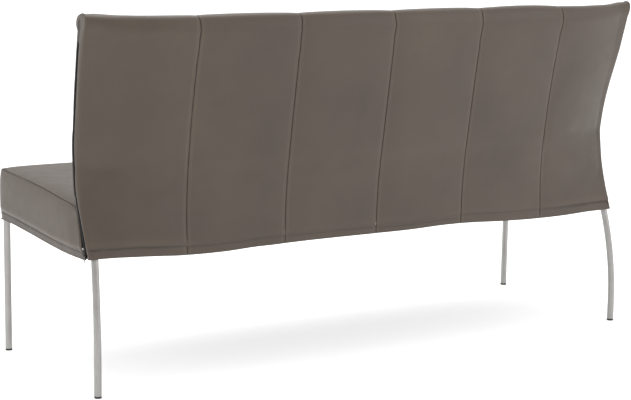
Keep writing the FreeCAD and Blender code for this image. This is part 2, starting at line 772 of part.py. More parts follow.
def band(outer, inner):
    """Closed wire of a thin band between an outer and an inner row of points."""
    edges = arcs(outer)
    edges.append(line(outer[-1], inner[-1]))
    edges += arcs(inner[::-1])
    edges.append(line(inner[0], outer[0]))
    return Part.Wire(edges)


def loft(wires, straight=False):
    """Closed solid through wires of the same make, smooth unless it is asked to be straight."""
    solid = Part.makeLoft(wires, True, straight)
    if not solid.isValid() or solid.Volume <= 0:
        raise RuntimeError("a loft isn't sound")
    return solid


def joined(solids):
    """One solid of solids that share their end faces."""
    whole = solids[0].multiFuse(solids[1:])
    if len(whole.Solids) != 1:
        raise RuntimeError("pieces don't join")
    return whole.Solids[0]


def on_circle(first, middle, last, z):
    """Y at a height on the arc through three points of the Y-Z plane."""
    ring = Part.Circle(V(0, first.y, first.z), V(0, middle.y, middle.z), V(0, last.y, last.z))
    reach = math.sqrt(ring.Radius ** 2 - (z - ring.Center.z) ** 2)
    near = ring.Center.y + reach
    far = ring.Center.y - reach
    return near if abs(near - middle.y) < abs(far - middle.y) else far


SEAMS = [step * size("panel_pitch") for step in range(-2, 3)]


def groove(x, end):
    """Depth to which the seams draw the cover in at a station."""
    out = abs(x)
    outer_seam = SEAMS[-1]
    if out > outer_seam:
        fade = max(0.0, (end - out) / (end - outer_seam))
        return size("seam_groove") * fade ** 2
    across = out / size("panel_pitch") % 1.0
    return size("seam_groove") * (2 * across - 1) ** 2


def side_x(z):
    """Outer face of the back's side at a height."""
    return size("side_out") + size("side_flare") * (z - size("side_base")) / size("side_rise")


def seat_x(y):
    """Outer face of the seat's side at a depth: it narrows to the rear."""
    depth_share = (y + size("seat_front")) / (size("frame_back") + size("seat_front"))
    return size("seat_half_front") + (size("seat_half_rear") - size("seat_half_front")) * depth_share


# Seat

def seat_outline(x, inset):
    """Seat profile at a station: front hem, bulge, lip, nose, front edge, middle, rear."""
    crown = 1 - (x / size("seat_half_front")) ** 2
    forward = size("seat_front_crown") * crown
    rise = size("seat_top_crown") * crown
    draw = inset + groove(x, size("seat_half_front"))
    slant = draw * math.sqrt(0.5)
    nose, edge, middle, rear = CROWN_SHARES
    return [
        V(x, -size("seat_hem_front") + inset, size("seat_hem_height")),
        V(x, -size("seat_front") - forward + draw, size("seat_bulge_height")),
        V(x, -size("seat_lip_front") - forward + draw, size("seat_lip_height")),
        V(x, -size("seat_nose_front") - forward * nose + slant,
          size("seat_nose_height") + rise * nose - slant),
        V(x, -size("seat_edge_front"), size("seat_edge_height") + rise * edge - draw),
        V(x, -size("seat_middle_front"), size("seat_middle_height") + rise * middle - draw),
        V(x, size("seat_rear_back"), size("seat_rear_height") + rise * rear - draw),
    ]


def to_seat_side(points, side, inset=0.0):
    """Move an outline into the upright plane of the seat's side."""
    return [V(side * (seat_x(p.y) - inset), p.y, p.z) for p in points]


def seat_panel(stations, last_side=0):
    """Leather strip of the seat through its stations, closed at the seat's side if it has one."""
    skin = size("leather")
    wires = [band(seat_outline(x, 0.0), seat_outline(x, skin)) for x in stations]
    if last_side:
        x = last_side * size("seat_half_front")
        wires.append(band(to_seat_side(seat_outline(x, 0.0), last_side),
                          to_seat_side(seat_outline(x, skin), last_side)))
    return loft(wires)


def between(first, last, shares):
    """Stations between two places, by shares."""
    return [first + (last - first) * share for share in shares]


MIDDLE_SHARES = (0.0, 0.5, 1.0)
END_SHARES = (0.0, 0.5)


def make_seat_panels():
    """Six leather strips that wrap the front of the seat and run to the back."""
    for number in range(4):
        stations = between(SEAMS[number], SEAMS[number + 1], MIDDLE_SHARES)
        add_shape("seat_panel_%d" % (5 - number), seat_panel(stations))
    for side, number in ((1, 1), (-1, 6)):
        stations = between(side * SEAMS[4], side * size("seat_half_front"), END_SHARES)
        add_shape("seat_panel_%d" % number, seat_panel(stations, side))


def foam_seat_points(x):
    """Seat foam at a station: inside the leather, on the felt."""
    inset = size("leather") + size("foam_gap")
    points = seat_outline(x, inset)
    base = size("frame_level") + size("rail_size") + size("webbing_thickness") + size("felt_thickness")
    hem, bulge, lip = points[:3]
    low = V(x, on_circle(hem, bulge, lip, base), base)
    middle_z = (base + lip.z) / 2
    middle = V(x, on_circle(hem, bulge, lip, middle_z), middle_z)
    back = size("seat_foam_back")
    edge, centre, rear = points[4:]
    rear_end = V(x, back, on_plain(edge, centre, rear, back))
    centre_y = (edge.y + back) / 2
    centre = V(x, centre_y, on_plain(edge, centre, rear, centre_y))
    return [low, middle, lip, points[3], edge, centre, rear_end], V(x, back, base)


def on_plain(first, middle, last, y):
    """Height at a depth on the arc through three points of the Y-Z plane."""
    swapped = [V(0, p.z, p.y) for p in (first, middle, last)]
    return on_circle(*swapped, y)


def make_seat_foam():
    """One foam block with the seat's crown and channels."""
    strips = []
    for first, last in zip(SEAMS, SEAMS[1:]):
        sections = [foam_seat_points(x) for x in between(first, last, MIDDLE_SHARES)]
        strips.append(loft([closed(points, corner) for points, corner in sections]))
    for _, side in ENDS:
        stations = between(side * SEAMS[-1], side * size("seat_half_front"), END_SHARES)
        sections = [foam_seat_points(x) for x in stations]
        wires = [closed(points, corner) for points, corner in sections]
        points, corner = foam_seat_points(side * size("seat_half_front"))
        flank = to_seat_side(points + [corner], side, size("seat_foam_inset"))
        wires.append(closed(flank[:-1], flank[-1]))
        strips.append(loft(wires))
    return add_shape("seat_foam", joined(strips))


make_seat_panels()
make_seat_foam()


# Zip line in the side plane: a straight foot, an arc and a straight head

def zip_points(shift=0.0):
    """Corner points of the zip line, moved to the rear by a shift."""
    foot = V(0, size("zip_foot_back") + shift, size("zip_foot_height"))
    knee = V(0, size("zip_knee_back") + shift, size("zip_knee_height"))
    head = V(0, size("zip_head_back") + shift, size("zip_head_height"))
    down = (foot - knee).normalize()
    up = (head - knee).normalize()
    half_angle = down.getAngle(up) / 2
    radius = size("zip_knee_radius") - shift
    reach = radius / math.tan(half_angle)
    centre = knee + (down + up).normalize() * (radius / math.sin(half_angle))
    middle = centre + (knee - centre).normalize() * radius
    return foot, knee + down * reach, middle, knee + up * reach, head


def zip_edges(shift=0.0):
    """Edges of the zip line from foot to head."""
    foot, bend_start, middle, bend_end, head = zip_points(shift)
    return [line(foot, bend_start), arc(bend_start, middle, bend_end), line(bend_end, head)]


def zip_y(z):
    """Where the zip line lies at a height."""
    foot, bend_start, middle, bend_end, head = zip_points()
    if z <= bend_start.z:
        return foot.y + (bend_start.y - foot.y) * (z - foot.z) / (bend_start.z - foot.z)
    if z >= bend_end.z:
        return bend_end.y + (head.y - bend_end.y) * (z - bend_end.z) / (head.z - bend_end.z)
    return on_circle(bend_start, middle, bend_end, z)


def side_placement(side):
    """Turns a shape drawn at x = 0 into the sloping side plane of the back."""
    tilt = math.degrees(math.atan(size("side_flare") / size("side_rise")))
    base = size("side_base")
    lean = FreeCAD.Rotation(V(0, 1, 0), side * tilt)
    turn = FreeCAD.Placement(V(side * size("side_out"), 0, base), lean)
    return turn.multiply(FreeCAD.Placement(V(0, 0, -base), FreeCAD.Rotation()))


# Back

LEVELS = ("hem", "low", "waist", "high", "shoulder")
FRONTS = (("front_shoulder", "shoulder_height"), ("chest_back", "chest_height"),
          ("belly_back", "belly_height"), ("loin_back", "loin_height"), ("lap_back", "lap_height"))


def wrap_forward(x, level):
    """How far the rear face has turned forward at a station."""
    out = abs(x)
    outer_seam = 2 * size("panel_pitch")
    bow = size("back_bow") * BOW_SHARES[level]
    drop = bow * (out / outer_seam) ** 2
    if out > outer_seam:
        at_end = size("back_wrap") * WRAP_SHARES[level]
        bow_at_end = bow * (size("wrap_end") / outer_seam) ** 2
        drop += (at_end - bow_at_end) * ((out - outer_seam) / (size("wrap_end") - outer_seam)) ** 2
    return drop


def ear(x):
    """Rise of the top edge towards its ends."""
    out = abs(x) - 2 * size("panel_pitch")
    room = size("wrap_end") - 2 * size("panel_pitch")
    return size("ear_rise") * (max(0.0, out) / room) ** 2


def back_outline(x, inset, round_share=0.0):
    """Back profile at a station: five rear points, the top, and five front points."""
    draw = inset + groove(x, size("wrap_end"))
    rounding = size("corner_round") * round_share
    points = []
    for level, name in enumerate(LEVELS):
        y = size(name + "_back") - wrap_forward(x, level) - draw - rounding * ROUND_SHARES[level]
        points.append(V(x, y, size(name + "_height")))
    rear_shift = wrap_forward(x, len(LEVELS) - 1)
    front_shift = size("front_shoulder") - front_y(x, size("front_shoulder"), size("shoulder_height"))
    top_y = size("top_back") - (rear_shift + front_shift) / 2
    points.append(V(x, top_y, size("top_height") + ear(x) - draw - rounding * TOP_ROUND_SHARE))
    for back_name, height_name in FRONTS:
        z = size(height_name)
        y = front_y(x, size(back_name), z) + draw
        target = zip_y(z) - size("zip_gap") / 2 - size("leather") + inset
        points.append(V(x, y + (target - y) * round_share, z))
    return points


def front_y(x, middle_y, z):
    """Front face at a station: it runs from the middle line to just in front of the zip."""
    end_y = zip_y(z) - size("front_lip")
    return middle_y + (end_y - middle_y) * (x / size("wrap_end")) ** 2


def to_back_side(points, side, inset=0.0):
    """Move an outline into the sloping plane of the back's side."""
    return [V(side * (side_x(p.z) - inset), p.y, p.z) for p in points]


def back_panel(stations, last_side=0):
    """Leather strip of the back from the rear hem over the top to the lap."""
    skin = size("leather")
    wires = [band(back_outline(x, 0.0), back_outline(x, skin)) for x in stations]
    if not last_side:
        return loft(wires)
    x = last_side * size("wrap_end")
    corner = []
    for inset_share, share in CORNER_SHARES:
        inset = size("corner_width") * inset_share
        corner.append(band(to_back_side(back_outline(x, 0.0, share), last_side, inset),
                           to_back_side(back_outline(x, skin, share), last_side, inset)))
    return joined([loft(wires), loft([wires[-1], corner[0]], True), loft(corner)])


def make_back_panels():
    """Six leather strips, the outer two rounded forward to the zips."""
    for number in range(4):
        stations = between(SEAMS[number], SEAMS[number + 1], MIDDLE_SHARES)
        add_shape("back_panel_%d" % (5 - number), back_panel(stations))
    for side, number in ((1, 1), (-1, 6)):
        stations = between(side * SEAMS[4], side * size("wrap_end"), MIDDLE_SHARES)
        add_shape("back_panel_%d" % number, back_panel(stations, side))


def frame_front(z):
    """Face that the front foam rests on: the webbing on the uprights."""
    layer = size("upright_depth") / 2 + size("webbing_thickness")
    return upright_y(z) - layer / math.cos(upright_lean(z)) - 2 * size("foam_gap")


def frame_rear(z):
    """Face that the rear foam rests on: the rear of the uprights."""
    return upright_y(z) + size("upright_depth") / 2 / math.cos(upright_lean(z)) + size("foam_gap")


def front_foam_section(x):
    """Front foam with the rounded top, in front of the frame."""
    points = back_outline(x, size("leather") + size("foam_gap"))
    shoulder = points[4]
    lap = points[-1]
    low_z = lap.z + size("leather")
    lap = V(x, lap.y, low_z)
    ledge = shoulder.z
    frame_low = V(x, frame_front(low_z), low_z)
    frame_middle_z = (low_z + ledge) / 2
    frame_middle = V(x, frame_front(frame_middle_z), frame_middle_z)
    frame_top = V(x, frame_front(ledge), ledge)
    edges = arcs(points[4:-1] + [lap])
    edges.append(line(lap, frame_low))
    edges.append(arc(frame_low, frame_middle, frame_top))
    edges.append(line(frame_top, shoulder))
    return Part.Wire(edges)


def rear_foam_section(x):
    """Rear foam between the frame and the leather."""
    points = back_outline(x, size("leather") + size("foam_gap"))
    hem, low, waist, high, shoulder = points[:5]
    base = size("back_foam_low")
    first = V(x, on_circle(hem, low, waist, base), base)
    second_z = (base + waist.z) / 2
    second = V(x, on_circle(hem, low, waist, second_z), second_z)
    ledge = shoulder.z - size("foam_gap")
    third_z = (waist.z + ledge) / 2
    third = V(x, on_circle(waist, high, shoulder, third_z), third_z)
    last = V(x, on_circle(waist, high, shoulder, ledge), ledge)
    edges = arcs([first, second, waist, third, last])
    frame_top = V(x, frame_rear(ledge), ledge)
    middle_z = (size("upright_knee") + ledge) / 2
    frame_middle = V(x, frame_rear(middle_z), middle_z)
    knee = V(x, frame_rear(size("upright_knee")), size("upright_knee"))
    foot = V(x, frame_rear(base), base)
    edges.append(line(last, frame_top))
    edges.append(arc(frame_top, frame_middle, knee))
    edges.append(line(knee, foot))
    edges.append(line(foot, first))
    return Part.Wire(edges)


def end_foam_section(points):
    """Foam at an end of the back, above the seat."""
    hem, low, waist = points[:3]
    lap = points[-1]
    base = lap.z + size("leather")
    first = V(low.x, on_circle(hem, low, waist, base), base)
    second_z = (base + waist.z) / 2
    second = V(low.x, on_circle(hem, low, waist, second_z), second_z)
    return [first, second] + points[2:-1] + [V(lap.x, lap.y, base)]


def channelled(section):
    """One block between the end foams, lofted channel by channel."""
    reach = size("end_foam_start") - size("foam_gap")
    borders = [-reach] + SEAMS + [reach]
    strips = []
    for first, last in zip(borders, borders[1:]):
        strips.append(loft([section(x) for x in between(first, last, MIDDLE_SHARES)]))
    return joined(strips)


def make_back_foams():
    """Front foam, rear foam and the two end blocks."""
    add_shape("back_front_foam", channelled(front_foam_section))
    add_shape("back_rear_foam", channelled(rear_foam_section))
    inset = size("leather") + size("foam_gap")
    for end, side in ENDS:
        far = side * size("wrap_end")
        wires = []
        for x in between(side * size("end_foam_start"), far, MIDDLE_SHARES):
            wires.append(closed(end_foam_section(back_outline(x, inset))))
        nose = []
        for inset_share, share in NOSE_SHARES:
            points = end_foam_section(back_outline(far, inset, share))
            nose.append(closed(to_back_side(points, side, size("corner_width") * inset_share)))
        add_shape("back_end_foam_" + end, joined([loft(wires), loft([wires[-1]] + nose, True)]))


make_back_panels()
make_back_foams()


# Sides: the seat's border, the back's narrow side leather, and the zip between them

def mirrored(shape, side):
    """The same shape for the other end of the sofa."""
    return shape if side > 0 else shape.mirror(V(0, 0, 0), V(1, 0, 0))


def in_side_plane(shape, side):
    """Stand a shape drawn at x = 0 for the left end in the side plane of either end."""
    shape = mirrored(shape, side)
    shape.Placement = side_placement(side).multiply(shape.Placement)
    return shape


def zip_front_region(shift):
    """Face of everything in front of the zip line moved by a shift, in the plane x = 0."""
    foot, bend_start, _, _, head = zip_points(shift)
    reach = size("seat_half_front")
    below = foot + (foot - bend_start).normalize() * reach
    above = V(0, head.y, head.z + reach)
    edges = [line(below, foot)] + zip_edges(shift)
    edges.append(line(head, above))
    edges.append(line(above, V(0, -reach, above.z)))
    edges.append(line(V(0, -reach, above.z), V(0, -reach, below.z)))
    edges.append(line(V(0, -reach, below.z), below))
    return Part.Face(Part.Wire(edges))


def make_back_side(end, side):
    """Narrow leather side of the back, from the rounded rear corner to the zip."""
    skin = size("leather")
    points = back_outline(size("wrap_end"), skin, 1.0)
    flat = [V(0, p.y, p.z) for p in points]
    low_front = V(0, flat[-1].y, flat[0].z)
    plate = Part.Face(closed(flat, low_front)).extrude(V(-skin, 0, 0))
    front = zip_front_region(size("zip_gap") / 2).extrude(V(-skin, 0, 0))
    pieces = sorted(plate.cut(front).Solids, key=lambda piece: piece.Volume)
    return add_shape("back_side_" + end, in_side_plane(pieces[-1], side))


def make_seat_side(end, side):
    """Seat border: bulged leather under the seat's side seam, up to the zip."""
    skin = size("leather")
    bulge = size("seat_side_bulge")
    low = size("hem_height") - skin
    high = size("seat_edge_height") + skin
    wires = []
    for y in (-size("seat_front") - skin, 0.0, size("zip_foot_back")):
        swell = bulge * (1 - (y / size("seat_front")) ** 2)
        outer = [V(side * (seat_x(y) + extra), y, z)
                 for extra, z in ((0.0, low), (swell, (low + high) / 2), (0.0, high))]
        inner = [V(p.x - side * skin, p.y, p.z) for p in outer]
        wires.append(band(outer, inner))
    slab = loft(wires)
    profile = seat_outline(size("seat_half_front"), skin)
    rear = profile[-1]
    hem_rear = V(0, size("hem_back"), size("zip_foot_height"))
    top_rear = V(0, size("hem_back"), rear.z)
    region = Part.Face(closed([V(0, p.y, p.z) for p in profile], top_rear, hem_rear))
    reach = size("seat_half_front")
    prism = region.extrude(V(side * 2 * reach, 0, 0))
    ahead = zip_front_region(-size("zip_gap") / 2).extrude(V(side * 2 * reach, 0, 0))
    shape = slab.common(prism).common(ahead)
    return add_shape("seat_side_" + end, shape.Solids[0])


def swept_strip(width, thickness, outward):
    """Flat strip along the zip line, in the plane x = 0, from an outer face inwards."""
    front_edges = zip_edges(-width / 2)
    rear_edges = zip_edges(width / 2)
    start = line(zip_points(width / 2)[0], zip_points(-width / 2)[0])
    finish = line(zip_points(-width / 2)[-1], zip_points(width / 2)[-1])
    face = Part.Face(Part.Wire(front_edges + [finish] + rear_edges[::-1] + [start]))
    strip = face.extrude(V(-thickness, 0, 0))
    strip.translate(V(outward, 0, 0))
    return strip


def make_zip(end, side):
    """Zip chain and the tape behind it."""
    chain = swept_strip(size("zip_width"), size("zip_thickness"), size("zip_proud"))
    add_shape("zip_chain_" + end, in_side_plane(chain, side))
    tape_face = size("zip_proud") - size("zip_thickness")
    tape = swept_strip(size("tape_width"), size("tape_thickness"), tape_face)
    add_shape("zip_tape_" + end, in_side_plane(tape, side))


def foot_placement(side, along):
    """Frame on the straight foot of the zip: x out of the side, z up along the zip."""
    foot, bend_start = zip_points()[:2]
    run = (bend_start - foot).normalize()
    lean = math.degrees(math.atan2(-run.y, run.z))
    spot = foot + run * along
    return side_placement(side).multiply(FreeCAD.Placement(spot, FreeCAD.Rotation(V(1, 0, 0), lean)))


def make_zip_stops():
    """Small metal stops on the foot of each chain."""
    wide = size("zip_width") + 2 * size("slider_wall")
    stops = []
    for _, side in ENDS:
        corner = V(size("zip_proud"), -wide / 2, 0)
        stop = Part.makeBox(size("slider_plate"), wide, size("stop_length"), corner)
        stop = mirrored(stop, side)
        stop.Placement = foot_placement(side, 0.0).multiply(stop.Placement)
        stops.append(stop)
    add_shape("zip_stops", Part.makeCompound(stops))


def make_slider(end, side):
    """Slider that straddles the chain, with two ears for the pull's pin."""
    clearance = size("slider_clearance")
    inner = size("zip_width") + 2 * clearance
    wide = inner + 2 * size("slider_wall")
    length = size("slider_length")
    plate_in = size("zip_proud") + clearance
    plate_out = plate_in + size("slider_plate")
    skirt_in = size("zip_proud") - size("slider_skirt") + clearance
    middle = size("stop_length") + clearance + length / 2
    plate = Part.makeBox(plate_out - plate_in, wide, length, V(plate_in, -wide / 2, -length / 2))
    shape = plate
    for edge in (-wide / 2, wide / 2 - size("slider_wall")):
        corner = V(skirt_in, edge, -length / 2)
        skirt = Part.makeBox(plate_out - skirt_in, size("slider_wall"), length, corner)
        shape = shape.fuse(skirt)
    shape = mirrored(shape.removeSplitter(), side)
    shape.Placement = foot_placement(side, middle).multiply(shape.Placement)
    pin = foot_placement(side, middle).multVec(V(side * (plate_out + size("ear_reach") / 2), 0, 0))
    ear_length = size("ear_length")
    for offset in (-size("ear_gap") / 2 - size("ear_thickness"), size("ear_gap") / 2):
        reach = size("ear_reach") + size("slider_plate")
        corner = V(size("ear_reach") / 2 - reach, offset, -ear_length / 2)
        lug = Part.makeBox(reach, size("ear_thickness"), ear_length, corner)
        lug = mirrored(lug, side)
        lug.translate(pin)
        shape = shape.fuse(lug)
    across = 2 * size("ear_thickness") + size("ear_gap")
    bore = Part.makeCylinder(size("pin_diameter") / 2 + size("pin_clearance"), 2 * across,
                             pin - V(0, across, 0), V(0, 1, 0))
    add_shape("zip_slider_" + end, shape.cut(bore).removeSplitter())
    return pin


def make_pull(end, side, pin):
    """Flat pull tab that hangs from its pin between the slider's ears."""
    across = 2 * size("ear_thickness") + size("ear_gap")
    rod = Part.makeCylinder(size("pin_diameter") / 2, across, pin - V(0, across / 2, 0), V(0, 1, 0))
    width = size("pull_width")
    thick = size("pull_thickness")
    length = size("pull_length")
    tab = Part.makeBox(thick, width, length, pin - V(thick / 2, width / 2, length - thick / 2))
    add_shape("zip_pull_" + end, tab.fuse(rod).removeSplitter())


for end, side in ENDS:
    make_back_side(end, side)
    make_seat_side(end, side)
    make_zip(end, side)
    slider_pin = make_slider(end, side)
    make_pull(end, side, slider_pin)
    run = (foot_placement(side, size("slider_length")).Base - foot_placement(side, 0.0).Base).normalize()
    print("zip", end, "pin", [round(c, 4) for c in slider_pin], "slides along", [round(c, 6) for c in run])


make_zip_stops()


# Check everything, then write each sub-part

doc.recompute()
for thing in doc.Objects:
    if "Invalid" in thing.State or "Error" in thing.State:
        raise RuntimeError("%s is not sound: %s" % (thing.Label, thing.State))
for node in NODES:
    if node.Shape.isNull() or not node.Shape.isValid():
        raise RuntimeError(node.Label + " has no valid shape")
    if node.Shape.Volume <= 0 or not node.Shape.Solids:
        raise RuntimeError(node.Label + " has no solid")

os.makedirs("parts", exist_ok=True)
for node in NODES:
    node.Shape.exportStep(os.path.join("parts", node.Label + ".step"))
    box = node.Shape.optimalBoundingBox(False, False)
    print("%-24s %d solids  x %.1f..%.1f  y %.1f..%.1f  z %.1f..%.1f" % (
        node.Label, len(node.Shape.Solids), box.XMin, box.XMax, box.YMin, box.YMax, box.ZMin, box.ZMax))
print(len(NODES), "nodes written")
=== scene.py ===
# %% [markdown]
# # A leather dining sofa, seen from behind
# The sofa is a steel frame with foam on it and a leather cover over the foam. The cover of the back and of the seat
# is sewn from six strips each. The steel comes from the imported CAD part. Everything soft is built here around it.

import math

import bmesh
import bpy
import numpy as np
from mathutils import Matrix, Vector


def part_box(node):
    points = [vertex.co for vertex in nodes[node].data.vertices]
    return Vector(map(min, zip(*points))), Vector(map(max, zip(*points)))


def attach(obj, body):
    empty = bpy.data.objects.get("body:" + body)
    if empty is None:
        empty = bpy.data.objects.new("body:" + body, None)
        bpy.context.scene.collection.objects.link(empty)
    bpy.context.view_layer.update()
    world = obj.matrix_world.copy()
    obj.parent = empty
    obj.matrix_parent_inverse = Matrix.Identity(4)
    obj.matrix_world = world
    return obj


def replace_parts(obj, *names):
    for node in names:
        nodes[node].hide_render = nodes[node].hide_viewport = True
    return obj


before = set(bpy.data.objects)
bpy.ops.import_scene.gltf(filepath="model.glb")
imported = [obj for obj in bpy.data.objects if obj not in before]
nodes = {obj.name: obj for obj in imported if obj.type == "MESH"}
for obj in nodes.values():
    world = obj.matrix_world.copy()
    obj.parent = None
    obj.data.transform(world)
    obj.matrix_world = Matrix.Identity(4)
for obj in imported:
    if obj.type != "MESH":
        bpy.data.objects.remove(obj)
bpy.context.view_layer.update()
MM = 0.001


def new_object(name, data):
    """An object in the scene for a mesh, a camera or a lamp."""
    made = bpy.data.objects.new(name, data)
    bpy.context.scene.collection.objects.link(made)
    return made


# %% [markdown]
# ## The camera
# The photograph looks at the sofa's rear left corner from a little above the top edge. The camera's place and its
# three angles were fitted to the seams, the feet and the outline. The lens is the long side of the picture on a
# sensor 36 mm wide. The matrix is written from the three directions, since Blender's helpers expect another frame.

# %% Camera
VIEW_WIDTH, FOCAL, SENSOR = 631, 1700.16, 36
TURN, DIP, BANK = 0.56274, 0.17281, 0.01586
CAMERA_PLACE = Vector((2.44574, 3.80622, 1.16261))
ahead = Vector((-math.sin(TURN) * math.cos(DIP), -math.cos(TURN) * math.cos(DIP), -math.sin(DIP)))
level_right = Vector((-math.cos(TURN), math.sin(TURN), 0))
level_up = level_right.cross(ahead)
right = level_right * math.cos(BANK) + level_up * math.sin(BANK)
up = level_up * math.cos(BANK) - level_right * math.sin(BANK)
camera_data = bpy.data.cameras.new("photo_camera")
camera_data.sensor_width = SENSOR
camera_data.lens = FOCAL * SENSOR / VIEW_WIDTH
camera_data.clip_end = 100
camera = new_object("photo_camera", camera_data)
turn = Matrix((right, up, -ahead)).transposed().to_4x4()
camera.matrix_world = Matrix.Translation(CAMERA_PLACE) @ turn
bpy.context.scene.camera = camera
print("lens %.1f mm" % camera_data.lens)

# %% [markdown]
# ## Helpers for node trees
# Each material and each repeated row is a small tree of nodes. A few helpers keep them short: they add a node with
# its settings and values, make a tree with named inputs and outputs, and add the nodes that nearly every tree needs.

# %% Node helpers
def add_node(tree, kind, links=None, values=None, **settings):
    """One node with its settings, its values by input name or number, and its incoming links."""
    made = tree.nodes.new(kind)
    for name, value in settings.items():
        setattr(made, name, value)
    for name, value in (values or {}).items():
        made.inputs[name].default_value = value
    for name, source in (links or {}).items():
        tree.links.new(source, made.inputs[name])
    return made


def new_tree(name, kind, takes, gives):
    """A node group with named sockets. Each one is given as its name, its type and its usual value."""
    tree = bpy.data.node_groups.new(name, kind)
    for direction, sockets in (("INPUT", takes), ("OUTPUT", gives)):
        for label, socket_type, usual in sockets:
            socket = tree.interface.new_socket(label, in_out=direction, socket_type=socket_type)
            if usual is not None:
                socket.default_value = usual
    return tree, tree.nodes.new("NodeGroupInput").outputs, tree.nodes.new("NodeGroupOutput").inputs


def maths(tree, operation, *terms, **settings):
    """A sum of numbers and sockets."""
    numbers = {k: term for k, term in enumerate(terms) if isinstance(term, float)}
    sockets = {k: term for k, term in enumerate(terms) if not isinstance(term, float)}
    return add_node(tree, "ShaderNodeMath", sockets, numbers, operation=operation, **settings).outputs[0]


def place_of(tree):
    """The object's own coordinates, which every texture uses."""
    return add_node(tree, "ShaderNodeTexCoord").outputs["Object"]


def noise_of(tree, place, scale, detail, **values):
    """Soft noise between 0 and 1."""
    values = {"Scale": scale, "Detail": detail, **values}
    return add_node(tree, "ShaderNodeTexNoise", {"Vector": place}, values).outputs["Fac"]


NUMBER, SHAPE, MATERIAL = "NodeSocketFloat", "NodeSocketGeometry", "NodeSocketMaterial"
print("node helpers ready")

# %% [markdown]
# ## Leather
# The cover is a smooth grey-brown hide with very fine pores, a soft sheen and a little change of tone from place to
# place. Pores and tone are one shared group, because the thread and the hem use them as well. The seams, the crease
# over the hem and the hem band of the seat's borders are darkened with painted shade, and the ridges beside the seams
# are rubbed a little paler. The shapes below carry both places as attributes, one for the painted shade and one for
# the rub.

# %% Shared shader groups
def make_grain_group():
    """Pores and creases of a hide: height for the bump, tone for the colour, shine for the roughness."""
    tree, given, result = new_tree(
        "hide_grain", "ShaderNodeTree",
        [("Pore size", NUMBER, 0.0016), ("Crease size", NUMBER, 0.03), ("Patch size", NUMBER, 0.25)],
        [("Height", NUMBER, None), ("Tone", NUMBER, None), ("Shine", NUMBER, None)])
    place = place_of(tree)

    def scale_of(size):
        return maths(tree, "DIVIDE", 1.0, given[size])

    def noise_at(size, detail):
        return add_node(tree, "ShaderNodeTexNoise", {"Vector": place, "Scale": scale_of(size)},
                        {"Detail": detail, "Roughness": 0.55}).outputs["Fac"]

    pores = add_node(tree, "ShaderNodeTexVoronoi", {"Vector": place, "Scale": scale_of("Pore size")},
                     {"Randomness": 0.9}, feature="SMOOTH_F1").outputs["Distance"]
    creases = noise_at("Crease size", 5.0)
    patches = noise_at("Patch size", 3.0)
    for label, terms in (("Height", (creases, 1.6, pores)), ("Tone", (creases, 0.35, patches)),
                         ("Shine", (pores, 0.4, creases))):
        tree.links.new(maths(tree, "MULTIPLY_ADD", *terms), result[label])
    return tree


def make_mark_group():
    """Two masks from the shape's attributes, broken up by noise: painted shade in the seams and creases, and rubbed
    ridges.
    """
    tree, given, result = new_tree(
        "dust_and_rub", "ShaderNodeTree", [("Dust", NUMBER, 0.5), ("Rub", NUMBER, 0.3)],
        [("Dust", NUMBER, None), ("Rub", NUMBER, None)])
    place = place_of(tree)
    uneven = maths(tree, "MULTIPLY_ADD", noise_of(tree, place, 55.0, 4.0), 1.2, 0.4)
    for attribute, label in (("painted_shade", "Dust"), ("rub", "Rub")):
        there = add_node(tree, "ShaderNodeAttribute", attribute_name=attribute).outputs["Fac"]
        broken = maths(tree, "MULTIPLY", there, uneven)
        tree.links.new(maths(tree, "MULTIPLY", broken, given[label], use_clamp=True), result[label])
    return tree


GRAIN, MARKS = make_grain_group(), make_mark_group()
print("shader groups:", GRAIN.name, MARKS.name)

# %% Material helpers
def new_material(name, **values):
    """A material with one Principled shader, whose plain values are set on its own sockets."""
    material = bpy.data.materials.new(name)
    material.use_nodes = True
    shader = material.node_tree.nodes["Principled BSDF"]
    for socket, value in values.items():
        shader.inputs[socket.replace("_", " ")].default_value = value
    return material, material.node_tree, shader


def mixed_colour(tree, mask, first, second):
    """Colour between two colours or sockets by a mask."""
    mix = add_node(tree, "ShaderNodeMix", {0: mask}, data_type="RGBA")
    for number, colour in ((6, first), (7, second)):
        if isinstance(colour, tuple):
            mix.inputs[number].default_value = (*colour, 1.0)
        else:
            tree.links.new(colour, mix.inputs[number])
    return mix.outputs[2]


def spread(tree, source, low, high, to_low, to_high):
    """A mask stretched from one range to another."""
    return add_node(tree, "ShaderNodeMapRange", {0: source}, {1: low, 2: high, 3: to_low, 4: to_high}).outputs[0]


def dress(tree, shader, colour, rough, height, depth):
    """Colour, roughness and relief of a shader. The depth of the relief is in metres."""
    relief = add_node(tree, "ShaderNodeBump", {"Height": height}, {"Distance": depth, "Strength": 1.0}).outputs[0]
    for source, socket in ((colour, "Base Color"), (rough, "Roughness"), (relief, "Normal")):
        tree.links.new(source, shader.inputs[socket])


def hide_material(name, dark, light, pore, depth, rough):
    """Leather, or a thread waxed like it, in its own tones."""
    material, tree, shader = new_material(name, Sheen_Weight=0.12, Sheen_Roughness=0.45, Specular_IOR_Level=0.42)
    grain = add_node(tree, "ShaderNodeGroup", values={"Pore size": pore}, node_tree=GRAIN)
    marks = add_node(tree, "ShaderNodeGroup", node_tree=MARKS)
    tone = mixed_colour(tree, spread(tree, grain.outputs["Tone"], 0.45, 0.95, 0.0, 1.0), dark, light)
    tone = mixed_colour(tree, marks.outputs["Rub"], tone, tuple(min(1.0, c * 1.5) for c in light))
    # Painted shade: the seams, the crease over the hem and the hem band of the seat's borders are darkened.
    tone = mixed_colour(tree, marks.outputs["Dust"], tone, tuple(c * 0.45 for c in dark))
    dress(tree, shader, tone, spread(tree, grain.outputs["Shine"], 0.3, 0.9, *rough), grain.outputs["Height"], depth)
    return material

